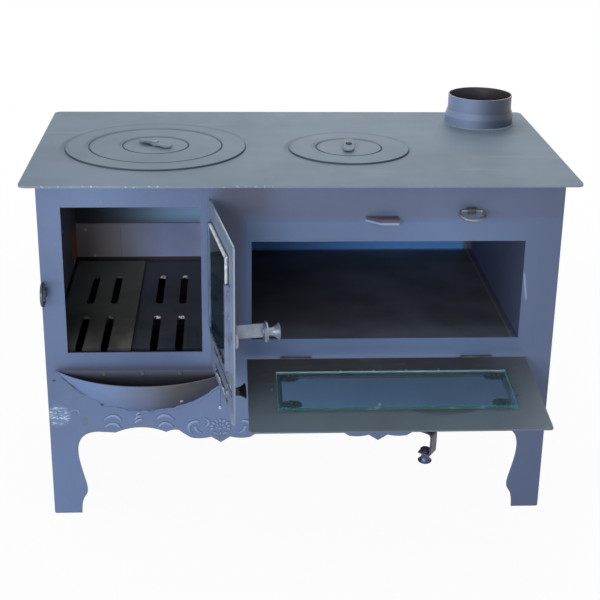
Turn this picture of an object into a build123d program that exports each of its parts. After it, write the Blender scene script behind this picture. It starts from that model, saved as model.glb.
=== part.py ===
"""Wood cookstove: sheet-steel body, ringed cooktop, firebox and oven with hinged doors.

Millimetres and degrees.  +X is the viewer's right, +Y runs to the back and +Z is up.
The origin is on the floor, in the middle of the box round the stove with both doors open.
The doors are modelled open: the firebox door swings on a vertical pin at its right edge,
and the oven door drops on a horizontal pin along its lower edge.
"""
import os
from math import atan, cos, degrees, hypot, radians, sin

from build123d import *

os.makedirs("parts", exist_ok=True)

# ---------------------------------------------------------------- body
body_width = 940.0
body_depth = 520.0
body_height = 658.0
front_sheet = 3.0
side_sheet = 2.0
back_sheet = 2.0
floor_height = 188.0
floor_sheet = 2.0
seat_gap = 0.2

# ---------------------------------------------------------------- cooktop
cooktop_sheet = 4.0
cooktop_side_lip = 27.0
cooktop_front_lip = 25.0
cooktop_rear_lip = 11.0
cooktop_corner = 14.0

# ---------------------------------------------------------------- burners
ring_proud = 3.0
ring_lap = 10.0
ring_gap = 1.6
ring_chamfer = 1.0
left_burner_x = -271.5
left_burner_depth = 241.0
left_outer_radius = 172.5
left_middle_radius = 126.5
right_burner_x = 99.5
right_burner_depth = 226.0
right_outer_radius = 116.0
lid_radius = 62.5
lid_tab_length = 82.0
lid_tab_width = 20.0
lid_tab_sheet = 3.0
lid_tab_lift = 3.0
left_tab_turn = -42.0
right_tab_turn = 85.0
lid_rivet_radius = 3.0
lid_rivet_head = 6.0
lid_rivet_head_height = 2.0
swivel_gap = 0.3
pin_clearance = 0.06

# ---------------------------------------------------------------- flue collar
flue_x = 390.7
flue_rear_inset = 78.0
flue_radius = 65.4
flue_wall = 2.0
flue_height = 60.0
flue_tail = 8.0
sleeve_radius = 70.0
sleeve_height = 30.0
sleeve_taper = 12.0
sleeve_lip = 0.6

# ---------------------------------------------------------------- front panel
firebox_left = -428.6
firebox_right = -182.2
firebox_bottom = 336.4
firebox_drop = 42.6
oven_left = -91.6
oven_right = 405.0
oven_opening_height = 190.1
oven_drop = 107.6
foot_inset = 52.3
foot_corner = 3.5
ankle_inset = 64.0
ankle_height = 44.0
calf_inset = 51.4
calf_height = 120.0
knee_inset = 90.5
knee_height = 174.0
scallop_pitch = 300.0
scallop_peak = 182.3
scallop_valley = 171.8
scallop_valley_half = 47.6
apron_tip = 148.9
apron_notch = (18.0, 160.5)
apron_lobe_top = (37.0, 157.5)
apron_lobe = (55.7, 159.1)
apron_rise = (69.0, 167.9)
apron_shoulder = (79.0, 176.0)
apron_crest = (90.0, 176.2)

# ---------------------------------------------------------------- side and back legs
side_leg = 62.0
back_leg = 60.0
arch_height = 172.0
arch_corner = 40.0

# ---------------------------------------------------------------- inner walls
partition_x = -176.0
partition_sheet = 3.0
partition_drop = 106.0
oven_sheet = 2.0
oven_depth = 502.0
liner_sheet = 6.0
back_liner_bottom = 342.0
back_liner_height = 77.0
back_liner_joint = -369.0
liner_gap = 0.5
side_liner_sheet = 3.0
side_liner_height = 220.0

# ---------------------------------------------------------------- grates
grate_width = 145.0
grate_length = 480.0
grate_sheet = 6.0
grate_level = 326.0
grate_lap = 8.0
grate_side_gap = 0.5
left_grate_depth = 16.0
right_grate_depth = 30.0
slot_length = 162.0
slot_width = 15.0
slot_pitch = 47.0
slot_row_first = 78.0
slot_row_pitch = 228.0
rail_width = 20.0
rail_shift = 5.0
rail_sheet = 6.0

# ---------------------------------------------------------------- ash pan
pan_width = 230.0
pan_length = 440.0
pan_height = 60.0
pan_sheet = 1.5
pan_flange = 8.0

# ---------------------------------------------------------------- ash catcher
catcher_left = -453.0
catcher_right = -121.0
catcher_reach = 75.0
catcher_rim = 301.0
catcher_fall = 84.0
catcher_sheet = 2.0
catcher_rivet_inset = 19.0
catcher_rivet_pitch = 70.0
catcher_rivet_count = 4
catcher_rivet_drop = 5.5
rivet_radius = 2.5
rivet_head = 4.0
rivet_head_height = 1.6

# ---------------------------------------------------------------- hinges
pin_stand = 5.0
pin_radius = 2.5
knuckle_radius = 4.5
leaf_width = 28.0
leaf_sheet = 2.0
knuckle_gap = 0.3
pin_head = 3.8
pin_head_height = 1.5
door_gap = 1.0
door_sheet = 3.0
door_edge_gap = 1.0

# ---------------------------------------------------------------- firebox door
fire_pin_x = -164.5
fire_open = 99.0
fire_door_width = 272.0
fire_door_bottom = 321.0
fire_door_lap = 19.1
fire_hinge_drop = 185.4
fire_hinge_length = 118.0

# ---------------------------------------------------------------- firebox glass
glass_near = 44.0
glass_far = 228.0
glass_bottom = 404.0
glass_drop = 30.5
glass_sheet = 3.5
glass_lap = 12.0
rope_radius = 1.2
strip_sheet = 1.5
strip_clearance = 2.0
strip_hook = 6.0
hinge_strip_width = 18.0
free_strip_width = 14.0
lower_strip_width = 22.0
strip_top_drop = 48.0
strip_rivet_start = 53.0
strip_rivet_end = 13.0
strip_rivet_count = 3
lower_rivet_first = 124.0
lower_rivet_pitch = 32.0

# ---------------------------------------------------------------- air slide
air_slot_start = 80.0
air_slot_level = 347.0
air_slot_length = 20.0
air_slot_pitch = 44.0
air_slot_count = 3
air_slot_height = 8.0
air_travel = 22.0
slide_near = 60.0
slide_far = 258.0
slide_bottom = 340.6
slide_height = 34.0
slide_sheet = 2.0
slide_stud_reach = 222.0
slide_stud_level = 360.0
slide_stud_radius = 3.0
slide_nut_radius = 5.5
slide_nut_height = 4.0
clip_width = 12.0
clip_sheet = 1.5
clip_hook = 4.0
clip_inset = 40.0
stud_slot_gap = 0.5
slide_collar = 6.0
slide_collar_height = 4.0

# ---------------------------------------------------------------- handles
handle_sheet = 3.0
handle_flange = 24.0
handle_flange_bend = 5.0
handle_rivet_radius = 4.0
handle_rivet_head = 7.0
handle_rivet_height = 2.0
handle_foot_height = 0.7
handle_collar_radius = 8.0
stud_radius = 3.0
stud_head = 5.0
stud_head_height = 2.0
knob_radius = 14.0
knob_neck = 7.5
knob_length = 21.0
knob_dish = 3.0
washer_sheet = 2.5
fire_handle_level = 475.0
fire_handle_pivot = 254.0
fire_handle_arm = 20.5
fire_handle_tongue = 31.0
fire_handle_width = 24.0
fire_handle_height = 54.0
fire_handle_bend = 12.0
fire_knob_setback = 10.0
fire_washer_radius = 18.0
oven_handle_x = 184.7
oven_handle_inset = 23.7
oven_handle_turn = 35.0
oven_handle_arm = 37.0
oven_handle_tongue = 49.0
oven_handle_width = 20.0
oven_handle_height = 47.0
oven_handle_bend = 9.0
oven_knob_setback = 15.0
oven_washer_radius = 9.0
oven_knob_scale = 0.86

# ---------------------------------------------------------------- oven door
oven_pin_drop = 38.5
oven_open = 96.4
oven_door_left = -100.5
oven_door_right = 419.0
oven_door_lap = 19.4
door_corner = 6.0
oven_glass_left = -49.0
oven_glass_right = 368.0
oven_glass_near = 66.0
oven_glass_inset = 61.0
oven_glass_sheet = 6.0
oven_glass_lap = 9.0
pad_length = 36.0
pad_width = 22.0
pad_sheet = 3.0
pad_inset_x = 24.0
pad_inset_y = 17.0
trim_sheet = 1.5
trim_band = 17.0
trim_far_band = 28.0
trim_near_band = 13.0
screw_radius = 2.0
screw_head = 3.6
screw_head_height = 1.8
screw_nut_height = 2.5
trim_row_count = 4
trim_row_pitch = 60.0
trim_side_pitch = 26.0
oven_hinge_length = 56.0
oven_hinge_left = -9.5
oven_hinge_right = 327.0
stop_length = 30.0
stop_reach = 24.0
stop_height = 14.0
stop_gap = 0.3

# ---------------------------------------------------------------- ring catches
catch_bar = 3.0
catch_chord = 10.0
catch_bend = 6.0
catch_stand = 12.0
fire_catch_radius = 20.0
fire_catch_drop = 198.0
fire_catch_inset = 6.0
oven_catch_radius = 22.5
oven_catch_x = 300.0
oven_catch_drop = 47.0
oven_catch_droop = 15.0
bracket_length = 14.0
bracket_wall = 3.0
bracket_web = 6.0

# ---------------------------------------------------------------- latch keeper
keeper_left = 112.0
keeper_width = 58.0
keeper_taper = 26.0
keeper_reach = 22.0
keeper_drop = 60.0
keeper_height = 10.0
keeper_sheet = 3.0

# ---------------------------------------------------------------- levels worked out from these
cooktop_top = body_height + cooktop_sheet
half_width = body_width / 2
side_inner = half_width - side_sheet
sheet_inner = pin_stand - door_gap
sheet_outer = sheet_inner - door_sheet
floor_top = floor_height + floor_sheet
partition_left = partition_x - partition_sheet / 2
partition_right = partition_x + partition_sheet / 2
back_inner = body_depth - back_sheet
grate_top = grate_level + grate_sheet
firebox_top = body_height - firebox_drop
oven_top = body_height - oven_drop
oven_bottom = oven_top - oven_opening_height
oven_pin_height = oven_bottom - oven_pin_drop
flue_depth = body_depth - flue_rear_inset
partition_height = body_height - partition_drop
fire_door_top = firebox_top + fire_door_lap
fire_hinge_bottom = firebox_top - fire_hinge_drop
glass_top = fire_door_top - glass_drop
strip_top = glass_top - strip_top_drop
strip_rivet_first = glass_bottom + strip_rivet_start
strip_rivet_pitch = (strip_top - strip_rivet_end - strip_rivet_first) / (strip_rivet_count - 1)
oven_door_length = oven_top + oven_door_lap - oven_pin_height
oven_glass_far = oven_door_length - oven_glass_inset
oven_handle_pivot = oven_door_length - oven_handle_inset
fire_catch_level = body_height - fire_catch_drop
oven_catch_height = body_height - oven_catch_drop
keeper_top = body_height - keeper_drop
handle_seat = -sheet_outer + seat_gap
fire_tip_reach = fire_handle_pivot + fire_handle_tongue

# The foremost point is the tip of the firebox handle's tongue, on its inner side.
tip_offset = Vector(-fire_tip_reach, -handle_seat, 0).rotate(Axis.Z, fire_open)
front_reach = pin_stand - tip_offset.Y
back_reach = body_depth + cooktop_rear_lip
front_y = (front_reach - back_reach) / 2

# ---------------------------------------------------------------- reference planes
# Front panel: x to the right, y up, z towards the viewer.
front_face = Plane(origin=(0, front_y, 0), x_dir=(1, 0, 0), z_dir=(0, -1, 0))
# Firebox door: x runs from the free edge to the pin, y up, z out of the door's outer face.
fire_door = Plane(
    origin=(fire_pin_x, front_y - pin_stand, 0),
    x_dir=Vector(1, 0, 0).rotate(Axis.Z, fire_open),
    z_dir=Vector(0, -1, 0).rotate(Axis.Z, fire_open),
)
# Oven door: x to the right, y from the pin to the free edge, z out of the outer face.
oven_door = Plane(
    origin=(0, front_y - pin_stand, oven_pin_height),
    x_dir=(1, 0, 0),
    z_dir=Vector(0, -1, 0).rotate(Axis.X, oven_open),
)


def keep(piece, node):
    """Name a finished piece and write its STEP file."""
    piece.label = node
    export_step(piece, f"parts/{node}.step")


def rectangle(low_x, high_x, low_y, high_y):
    """Rectangle between two corners, for the sketch in hand."""
    with Locations(((low_x + high_x) / 2, (low_y + high_y) / 2)):
        Rectangle(high_x - low_x, high_y - low_y)


def block(low, high):
    """Axis-aligned block between two corners given as (x, depth behind the front, z)."""
    with BuildPart() as solid:
        with BuildSketch(Plane.XY.offset(low[2])):
            rectangle(low[0], high[0], front_y + low[1], front_y + high[1])
        extrude(amount=high[2] - low[2])
    return solid.part


def slab(plane, low, high):
    """Block between two corners given in a plane's own x, y and z."""
    with BuildPart() as solid:
        with BuildSketch(plane.offset(low[2])):
            rectangle(low[0], high[0], low[1], high[1])
        extrude(amount=high[2] - low[2])
    return solid.part


def pegs(plane, places, steps):
    """Stepped round pegs at places on a plane; steps are (radius, from, to) along its normal."""
    with BuildPart() as solid:
        for radius, low, high in steps:
            with BuildSketch(plane.offset(low)):
                with Locations(*places):
                    Circle(radius)
            extrude(amount=high - low)
    return solid.part


# ================================================================ cooktop
def make_cooktop():
    """Plate with a hole under each burner and one for the flue collar."""
    low_y = front_y - cooktop_front_lip
    high_y = front_y + body_depth + cooktop_rear_lip
    reach = half_width + cooktop_side_lip
    with BuildPart() as plate:
        with BuildSketch(Plane.XY.offset(body_height)) as outline:
            rectangle(-reach, reach, low_y, high_y)
            fillet(outline.vertices(), cooktop_corner)
            with Locations((left_burner_x, front_y + left_burner_depth)):
                Circle(left_outer_radius - ring_lap, mode=Mode.SUBTRACT)
            with Locations((right_burner_x, front_y + right_burner_depth)):
                Circle(right_outer_radius - ring_lap, mode=Mode.SUBTRACT)
            with Locations((flue_x, front_y + flue_depth)):
                Circle(flue_radius + seat_gap, mode=Mode.SUBTRACT)
        extrude(amount=cooktop_sheet)
    return plate.part


def make_burner_ring(centre, radius, next_radius):
    """Ring with a flange over the hole outside it and a ledge for the ring or lid inside it."""
    with BuildPart() as ring:
        with BuildSketch(Plane.XY.offset(cooktop_top)):
            with Locations(centre):
                Circle(radius)
                Circle(next_radius + ring_gap, mode=Mode.SUBTRACT)
        extrude(amount=ring_proud)
        top_edges = ring.faces().sort_by(Axis.Z)[-1].edges()
        chamfer(top_edges, ring_chamfer)
        with BuildSketch(Plane.XY.offset(body_height)):
            with Locations(centre):
                Circle(radius - ring_lap - ring_gap)
                Circle(next_radius - ring_lap, mode=Mode.SUBTRACT)
        extrude(amount=cooktop_sheet)
    return ring.part


def make_lid(centre):
    """Disc that closes the burner, with a hole for its rivet."""
    with BuildPart() as lid:
        with BuildSketch(Plane.XY.offset(cooktop_top)):
            with Locations(centre):
                Circle(lid_radius)
        extrude(amount=ring_proud)
        chamfer(lid.faces().sort_by(Axis.Z)[-1].edges(), ring_chamfer)
        with BuildSketch(Plane.XY.offset(body_height)):
            with Locations(centre):
                Circle(lid_radius - ring_lap - ring_gap)
        extrude(amount=cooktop_sheet)
        with BuildSketch(Plane.XY.offset(body_height)):
            with Locations(centre):
                Circle(lid_rivet_radius)
        extrude(amount=cooktop_sheet + ring_proud, mode=Mode.SUBTRACT)
    return lid.part


def make_lid_tab(centre, turn):
    """Round-ended lifting tab, free to turn on the lid's rivet."""
    level = cooktop_top + ring_proud + lid_tab_lift + swivel_gap
    with BuildPart() as tab:
        with BuildSketch(Plane.XY.offset(level)):
            with Locations(Location((centre[0], centre[1], 0), (0, 0, turn))):
                SlotOverall(lid_tab_length, lid_tab_width)
            with Locations(centre):
                Circle(lid_rivet_radius + pin_clearance, mode=Mode.SUBTRACT)
        extrude(amount=lid_tab_sheet)
    return tab.part


def make_lid_rivet(centre):
    """Rivet with a foot below the lid, a collar that lifts the tab, and a head above it."""
    lid_top = cooktop_top + ring_proud
    collar_top = lid_top + lid_tab_lift
    head_bottom = collar_top + lid_tab_sheet + 2 * swivel_gap
    steps = [
        (lid_rivet_head, body_height - lid_rivet_head_height, body_height),
        (lid_rivet_radius, body_height, lid_top),
        (lid_rivet_head, lid_top, collar_top),
        (lid_rivet_radius, collar_top, head_bottom),
        (lid_rivet_head, head_bottom, head_bottom + lid_rivet_head_height),
    ]
    return pegs(Plane.XY, [centre], steps)


left_burner = (left_burner_x, front_y + left_burner_depth)
right_burner = (right_burner_x, front_y + right_burner_depth)

keep(make_cooktop(), "cooktop_plate")
keep(make_burner_ring(left_burner, left_outer_radius, left_middle_radius), "left_outer_ring")
keep(make_burner_ring(left_burner, left_middle_radius, lid_radius), "left_middle_ring")
keep(make_burner_ring(right_burner, right_outer_radius, lid_radius), "right_outer_ring")
for side, centre, turn in (("left", left_burner, left_tab_turn), ("right", right_burner, right_tab_turn)):
    keep(make_lid(centre), f"{side}_lid")
    keep(make_lid_tab(centre, turn), f"{side}_lid_tab")
    keep(make_lid_rivet(centre), f"{side}_lid_rivet")

# ================================================================ flue collar
with BuildPart() as flue_collar:
    with BuildSketch(Plane.XY.offset(body_height - flue_tail)):
        with Locations((flue_x, front_y + flue_depth)):
            Circle(flue_radius)
            Circle(flue_radius - flue_wall, mode=Mode.SUBTRACT)
    extrude(amount=flue_tail + cooktop_sheet + flue_height)
keep(flue_collar.part, "flue_collar")

with BuildPart() as flue_sleeve:
    with BuildSketch(Plane.XY.offset(cooktop_top)):
        with Locations((flue_x, front_y + flue_depth)):
            Circle(sleeve_radius)
    extrude(amount=sleeve_height - sleeve_taper)
    shoulder = flue_sleeve.faces().sort_by(Axis.Z)[-1]
    narrowing = sleeve_radius - flue_radius - seat_gap - sleeve_lip
    extrude(shoulder, amount=sleeve_taper, taper=degrees(atan(narrowing / sleeve_taper)))
    with BuildSketch(Plane.XY.offset(cooktop_top)):
        with Locations((flue_x, front_y + flue_depth)):
            Circle(flue_radius + seat_gap)
    extrude(amount=sleeve_height, mode=Mode.SUBTRACT)
keep(flue_sleeve.part, "flue_sleeve")


# ================================================================ front panel
def scallop(tip_x, way):
    """Half of one apron motif: from its pointed tip out to the valley beside the next peak."""
    def at(across, height):
        return (tip_x + way * across, height)

    valley = scallop_pitch / 2 - scallop_valley_half
    Line(at(0, apron_tip), at(*apron_notch))
    ThreePointArc(at(*apron_notch), at(*apron_lobe_top), at(*apron_lobe))
    ThreePointArc(at(*apron_lobe), at(*apron_rise), at(*apron_shoulder))
    ThreePointArc(at(*apron_shoulder), at(*apron_crest), at(valley, scallop_valley))


def front_leg(way):
    """Outline of one front leg, from the apron's outer valley down and round to its shoulder."""
    edge = half_width * way
    outer_valley = scallop_pitch + scallop_valley_half
    Line((outer_valley * way, scallop_valley), (edge - knee_inset * way, knee_height))
    Spline(
        (edge - knee_inset * way, knee_height),
        (edge - calf_inset * way, calf_height),
        (edge - ankle_inset * way, ankle_height),
        (edge - foot_inset * way, 0),
        tangents=((way, 0), (0, -1)),
    )
    Line((edge - foot_inset * way, 0), (edge - foot_corner * way, 0))
    ThreePointArc(
        (edge - foot_corner * way, 0),
        (edge - foot_corner * way * (1 - cos(radians(45))), foot_corner * (1 - sin(radians(45)))),
        (edge, foot_corner),
    )
    Line((edge, foot_corner), (edge, body_height))


rivet_row = [
    (catcher_left + catcher_rivet_inset + index * catcher_rivet_pitch, catcher_rim - catcher_rivet_drop)
    for index in range(catcher_rivet_count)
]
with BuildPart() as front_panel:
    with BuildSketch(front_face) as front_outline:
        with BuildLine():
            for peak in (-scallop_pitch, 0, scallop_pitch):
                ThreePointArc(
                    (peak - scallop_valley_half, scallop_valley),
                    (peak, scallop_peak),
                    (peak + scallop_valley_half, scallop_valley),
                )
            for tip in (-scallop_pitch / 2, scallop_pitch / 2):
                scallop(tip, 1)
                scallop(tip, -1)
            front_leg(-1)
            front_leg(1)
            Line((-half_width, body_height), (half_width, body_height))
        make_face()
    extrude(amount=-front_sheet)
    with BuildSketch(front_face):
        rectangle(firebox_left, firebox_right, firebox_bottom, firebox_top)
        rectangle(oven_left, oven_right, oven_bottom, oven_top)
        with Locations(*rivet_row):
            Circle(rivet_radius)
    extrude(amount=-front_sheet, mode=Mode.SUBTRACT)
keep(front_panel.part, "front_panel")


# ================================================================ side and back panels
def arched_sheet(plane, low, high, leg, thickness):
    """Sheet from the floor to the cooktop with a round-cornered arch between two legs."""
    with BuildPart() as sheet:
        with BuildSketch(plane):
            rectangle(low, high, 0, body_height)
            with BuildSketch(mode=Mode.PRIVATE) as arch:
                rectangle(low + leg, high - leg, -arch_corner, arch_height)
                fillet(arch.vertices().group_by(Axis.Y)[-1], arch_corner)
            add(arch.sketch, mode=Mode.SUBTRACT)
        extrude(amount=thickness)
    return sheet.part


side_plane = Plane(origin=(-half_width, front_y, 0), x_dir=(0, 1, 0), z_dir=(1, 0, 0))
keep(arched_sheet(side_plane, front_sheet, back_inner, side_leg, side_sheet), "left_side_panel")
right_plane = Plane(origin=(side_inner, front_y, 0), x_dir=(0, 1, 0), z_dir=(1, 0, 0))
keep(arched_sheet(right_plane, front_sheet, back_inner, side_leg, side_sheet), "right_side_panel")
back_plane = Plane(origin=(0, front_y + body_depth, 0), x_dir=(1, 0, 0), z_dir=(0, -1, 0))
keep(arched_sheet(back_plane, -half_width, half_width, back_leg, back_sheet), "back_panel")

keep(
    block((-side_inner, front_sheet, floor_height), (side_inner, back_inner, floor_top)),
    "bottom_plate",
)

# ================================================================ inner walls
keep(
    block((partition_left, front_sheet, floor_top), (partition_right, back_inner, partition_height)),
    "firebox_partition",
)

with BuildPart() as oven_box:
    with BuildSketch(front_face.offset(-front_sheet)):
        rectangle(
            oven_left - oven_sheet,
            oven_right + oven_sheet,
            oven_bottom - oven_sheet,
            oven_top + oven_sheet,
        )
    extrude(amount=-(oven_depth + oven_sheet))
    with BuildSketch(front_face.offset(-front_sheet)):
        rectangle(oven_left, oven_right, oven_bottom, oven_top)
    extrude(amount=-oven_depth, mode=Mode.SUBTRACT)
keep(oven_box.part, "oven_box")

back_liner_front = back_inner - liner_sheet
back_liner_top = back_liner_bottom + back_liner_height
liner_left = -side_inner + side_liner_sheet
with BuildPart() as firebox_liners:
    for low_x, high_x in ((liner_left, back_liner_joint), (back_liner_joint + liner_gap, partition_left)):
        add(block((low_x, back_liner_front, back_liner_bottom), (high_x, back_inner, back_liner_top)))
    add(
        block(
            (-side_inner, front_sheet, back_liner_bottom),
            (liner_left - liner_gap, back_inner, back_liner_bottom + side_liner_height),
        )
    )
keep(firebox_liners.part, "firebox_liners")


# ================================================================ grates
def make_grate(right_edge, near_edge, bottom):
    """Slotted plate: two rows of two slots that run front to back."""
    middle = right_edge - grate_width / 2
    with BuildPart() as grate:
        with BuildSketch(Plane.XY.offset(bottom)):
            rectangle(
                right_edge - grate_width,
                right_edge,
                front_y + near_edge,
                front_y + near_edge + grate_length,
            )
            for row in range(2):
                row_y = front_y + near_edge + slot_row_first + row * slot_row_pitch
                with Locations(Location((middle, row_y, 0), (0, 0, 90))):
                    with GridLocations(0, slot_pitch, 1, 2):
                        SlotOverall(slot_length, slot_width, mode=Mode.SUBTRACT)
        extrude(amount=grate_sheet)
    return grate.part


right_grate_edge = partition_left - grate_side_gap
middle_edge = right_grate_edge - grate_width
keep(make_grate(right_grate_edge, right_grate_depth, grate_level), "right_grate")
keep(make_grate(middle_edge + grate_lap, left_grate_depth, grate_top), "left_grate")


def make_rail(left_edge, level):
    """Flat bar that carries a grate's edge, from the front panel to the back panel."""
    return block(
        (left_edge, front_sheet, level - rail_sheet),
        (left_edge + rail_width, back_inner, level),
    )


with BuildPart() as grate_rails:
    add(make_rail(-side_inner, grate_top))
    add(make_rail(middle_edge - rail_shift, grate_level))
    add(make_rail(partition_left - rail_width, grate_level))
keep(grate_rails.part, "grate_rails")

# ================================================================ ash pan
pan_middle = (partition_left - side_inner) / 2
pan_left = pan_middle - pan_width / 2
pan_right = pan_middle + pan_width / 2
pan_near = (front_sheet + back_inner - pan_length) / 2
with BuildPart() as ash_pan:
    with BuildSketch(Plane.XY.offset(floor_top)):
        rectangle(pan_left, pan_right, front_y + pan_near, front_y + pan_near + pan_length)
    extrude(amount=pan_height)
    with BuildSketch(Plane.XY.offset(floor_top + pan_height - pan_sheet)):
        rectangle(
            pan_left - pan_flange,
            pan_right + pan_flange,
            front_y + pan_near - pan_flange,
            front_y + pan_near + pan_length + pan_flange,
        )
    extrude(amount=pan_sheet)
    with BuildSketch(Plane.XY.offset(floor_top + pan_sheet)):
        rectangle(
            pan_left + pan_sheet,
            pan_right - pan_sheet,
            front_y + pan_near + pan_sheet,
            front_y + pan_near + pan_length - pan_sheet,
        )
    extrude(amount=pan_height, mode=Mode.SUBTRACT)
keep(ash_pan.part, "ash_pan")

# ================================================================ ash catcher
# A sheet rolled to an arc and set at a slope: its rim is level, and its foot meets the front panel.
catcher_half = (catcher_right - catcher_left) / 2
catcher_x = (catcher_right + catcher_left) / 2
catcher_slope = hypot(catcher_reach, catcher_fall)
catcher_wall = catcher_sheet * catcher_slope / catcher_fall


def pocket(arc_inset, back_inset):
    """Space between a flat back and an arc that stands out from it, swept down along the slope."""
    half = catcher_half - arc_inset
    back = front_y - back_inset
    with BuildPart() as solid:
        with BuildSketch(Plane.XY.offset(catcher_rim)):
            with BuildLine():
                ThreePointArc(
                    (catcher_x - half, back),
                    (catcher_x, front_y - catcher_reach + arc_inset),
                    (catcher_x + half, back),
                )
                Line((catcher_x - half, back), (catcher_x + half, back))
            make_face()
        extrude(amount=catcher_slope, dir=(0, catcher_reach, -catcher_fall))
        split(bisect_by=front_face.offset(back_inset), keep=Keep.TOP)
    return solid.part


with BuildPart() as ash_catcher:
    add(pocket(0, 0))
    add(pocket(catcher_wall, catcher_sheet), mode=Mode.SUBTRACT)
    with BuildSketch(front_face):
        with Locations(*rivet_row):
            Circle(rivet_radius)
    extrude(amount=catcher_sheet, mode=Mode.SUBTRACT)
keep(ash_catcher.part, "ash_catcher")

rivet_steps = [
    (rivet_head, -front_sheet - rivet_head_height, -front_sheet),
    (rivet_radius, -front_sheet, catcher_sheet),
    (rivet_head, catcher_sheet, catcher_sheet + rivet_head_height),
]
keep(pegs(front_face, rivet_row, rivet_steps), "ash_catcher_rivets")

# ================================================================ hinges
leaf_near = knuckle_radius + door_edge_gap
panel_seat = pin_stand - leaf_sheet
door_seat = -sheet_outer

# Each hinge plane runs along its pin.  On the body its x follows the leaf and its y enters the panel;
# on a door its x runs to the free edge and its y out of the outer face.
fire_body_hinge = Plane(origin=fire_door.origin, x_dir=(1, 0, 0), z_dir=(0, 0, 1))
fire_leaf_hinge = Plane(origin=fire_door.origin, x_dir=-fire_door.x_dir, z_dir=(0, 0, 1))
oven_body_hinge = Plane(origin=oven_door.origin, x_dir=(0, 0, -1), z_dir=(1, 0, 0))
oven_leaf_hinge = Plane(origin=oven_door.origin, x_dir=oven_door.y_dir, z_dir=(1, 0, 0))


def make_leaf(plane, start, length, own, seat):
    """Flat leaf with its own share of three knuckles; own lists them, seat is the leaf's near face."""
    third = length / 3
    with BuildPart() as leaf:
        with BuildSketch(plane.offset(start)):
            rectangle(leaf_near, leaf_width, seat, seat + leaf_sheet)
        extrude(amount=length)
        for index in own:
            gap = knuckle_gap * (index % 2)
            with BuildSketch(plane.offset(start + index * third + gap)):
                rectangle(0, leaf_near, seat, seat + leaf_sheet)
                Circle(knuckle_radius)
            extrude(amount=third - 2 * gap)
        with BuildSketch(plane.offset(start)):
            Circle(pin_radius + pin_clearance)
        extrude(amount=length, mode=Mode.SUBTRACT)
    return leaf.part


def pin_steps(start, length):
    """Pin with a small head past each end of its hinge."""
    end = start + length
    return [
        (pin_head, start - pin_head_height, start),
        (pin_radius, start, end),
        (pin_head, end, end + pin_head_height),
    ]


oven_hinge_starts = (oven_hinge_left - oven_hinge_length / 2, oven_hinge_right - oven_hinge_length / 2)
keep(
    make_leaf(fire_body_hinge, fire_hinge_bottom, fire_hinge_length, (0, 2), panel_seat),
    "firebox_hinge_body_leaf",
)
keep(
    make_leaf(fire_leaf_hinge, fire_hinge_bottom, fire_hinge_length, (1,), door_seat),
    "firebox_hinge_door_leaf",
)
keep(pegs(fire_body_hinge, [(0, 0)], pin_steps(fire_hinge_bottom, fire_hinge_length)), "firebox_hinge_pin")


def stop_heel(middle):
    """Lug on the body's leaf: its sloping top carries the open door just under the door's leaf."""
    lift = door_seat + leaf_sheet + stop_gap
    near = oven_door.from_local_coords((0, leaf_near + stop_gap, lift))
    far = oven_door.from_local_coords((0, stop_reach, lift))
    side = Plane(origin=(middle - stop_length / 2, 0, 0), x_dir=(0, 1, 0), z_dir=(1, 0, 0))
    face = front_y - leaf_sheet
    foot = oven_pin_height - leaf_near - stop_gap
    with BuildPart() as lug:
        with BuildSketch(side):
            with BuildLine():
                Polyline(
                    (face, foot),
                    (near.Y, foot),
                    (near.Y, near.Z),
                    (far.Y, far.Z),
                    (far.Y, far.Z - leaf_sheet),
                    (face, foot - stop_height),
                    close=True,
                )
            make_face()
        extrude(amount=stop_length)
    return lug.part


with BuildPart() as oven_body_leaves:
    for start in oven_hinge_starts:
        add(make_leaf(oven_body_hinge, start, oven_hinge_length, (0, 2), panel_seat))
        add(stop_heel(start + oven_hinge_length / 2))
keep(oven_body_leaves.part, "oven_hinge_body_leaves")

with BuildPart() as oven_door_leaves:
    for start in oven_hinge_starts:
        add(make_leaf(oven_leaf_hinge, start, oven_hinge_length, (1,), door_seat))
keep(oven_door_leaves.part, "oven_hinge_door_leaves")

with BuildPart() as oven_pins:
    for start in oven_hinge_starts:
        add(pegs(oven_body_hinge, [(0, 0)], pin_steps(start, oven_hinge_length)))
keep(oven_pins.part, "oven_hinge_pins")


# ================================================================ handles
def handle_base(door, x, y, turn):
    """Plane on a handle's rivet: x along the handle's arm, z out of the door."""
    return Plane(door.location * Location((x, y, 0), (0, 0, turn)))


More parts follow.
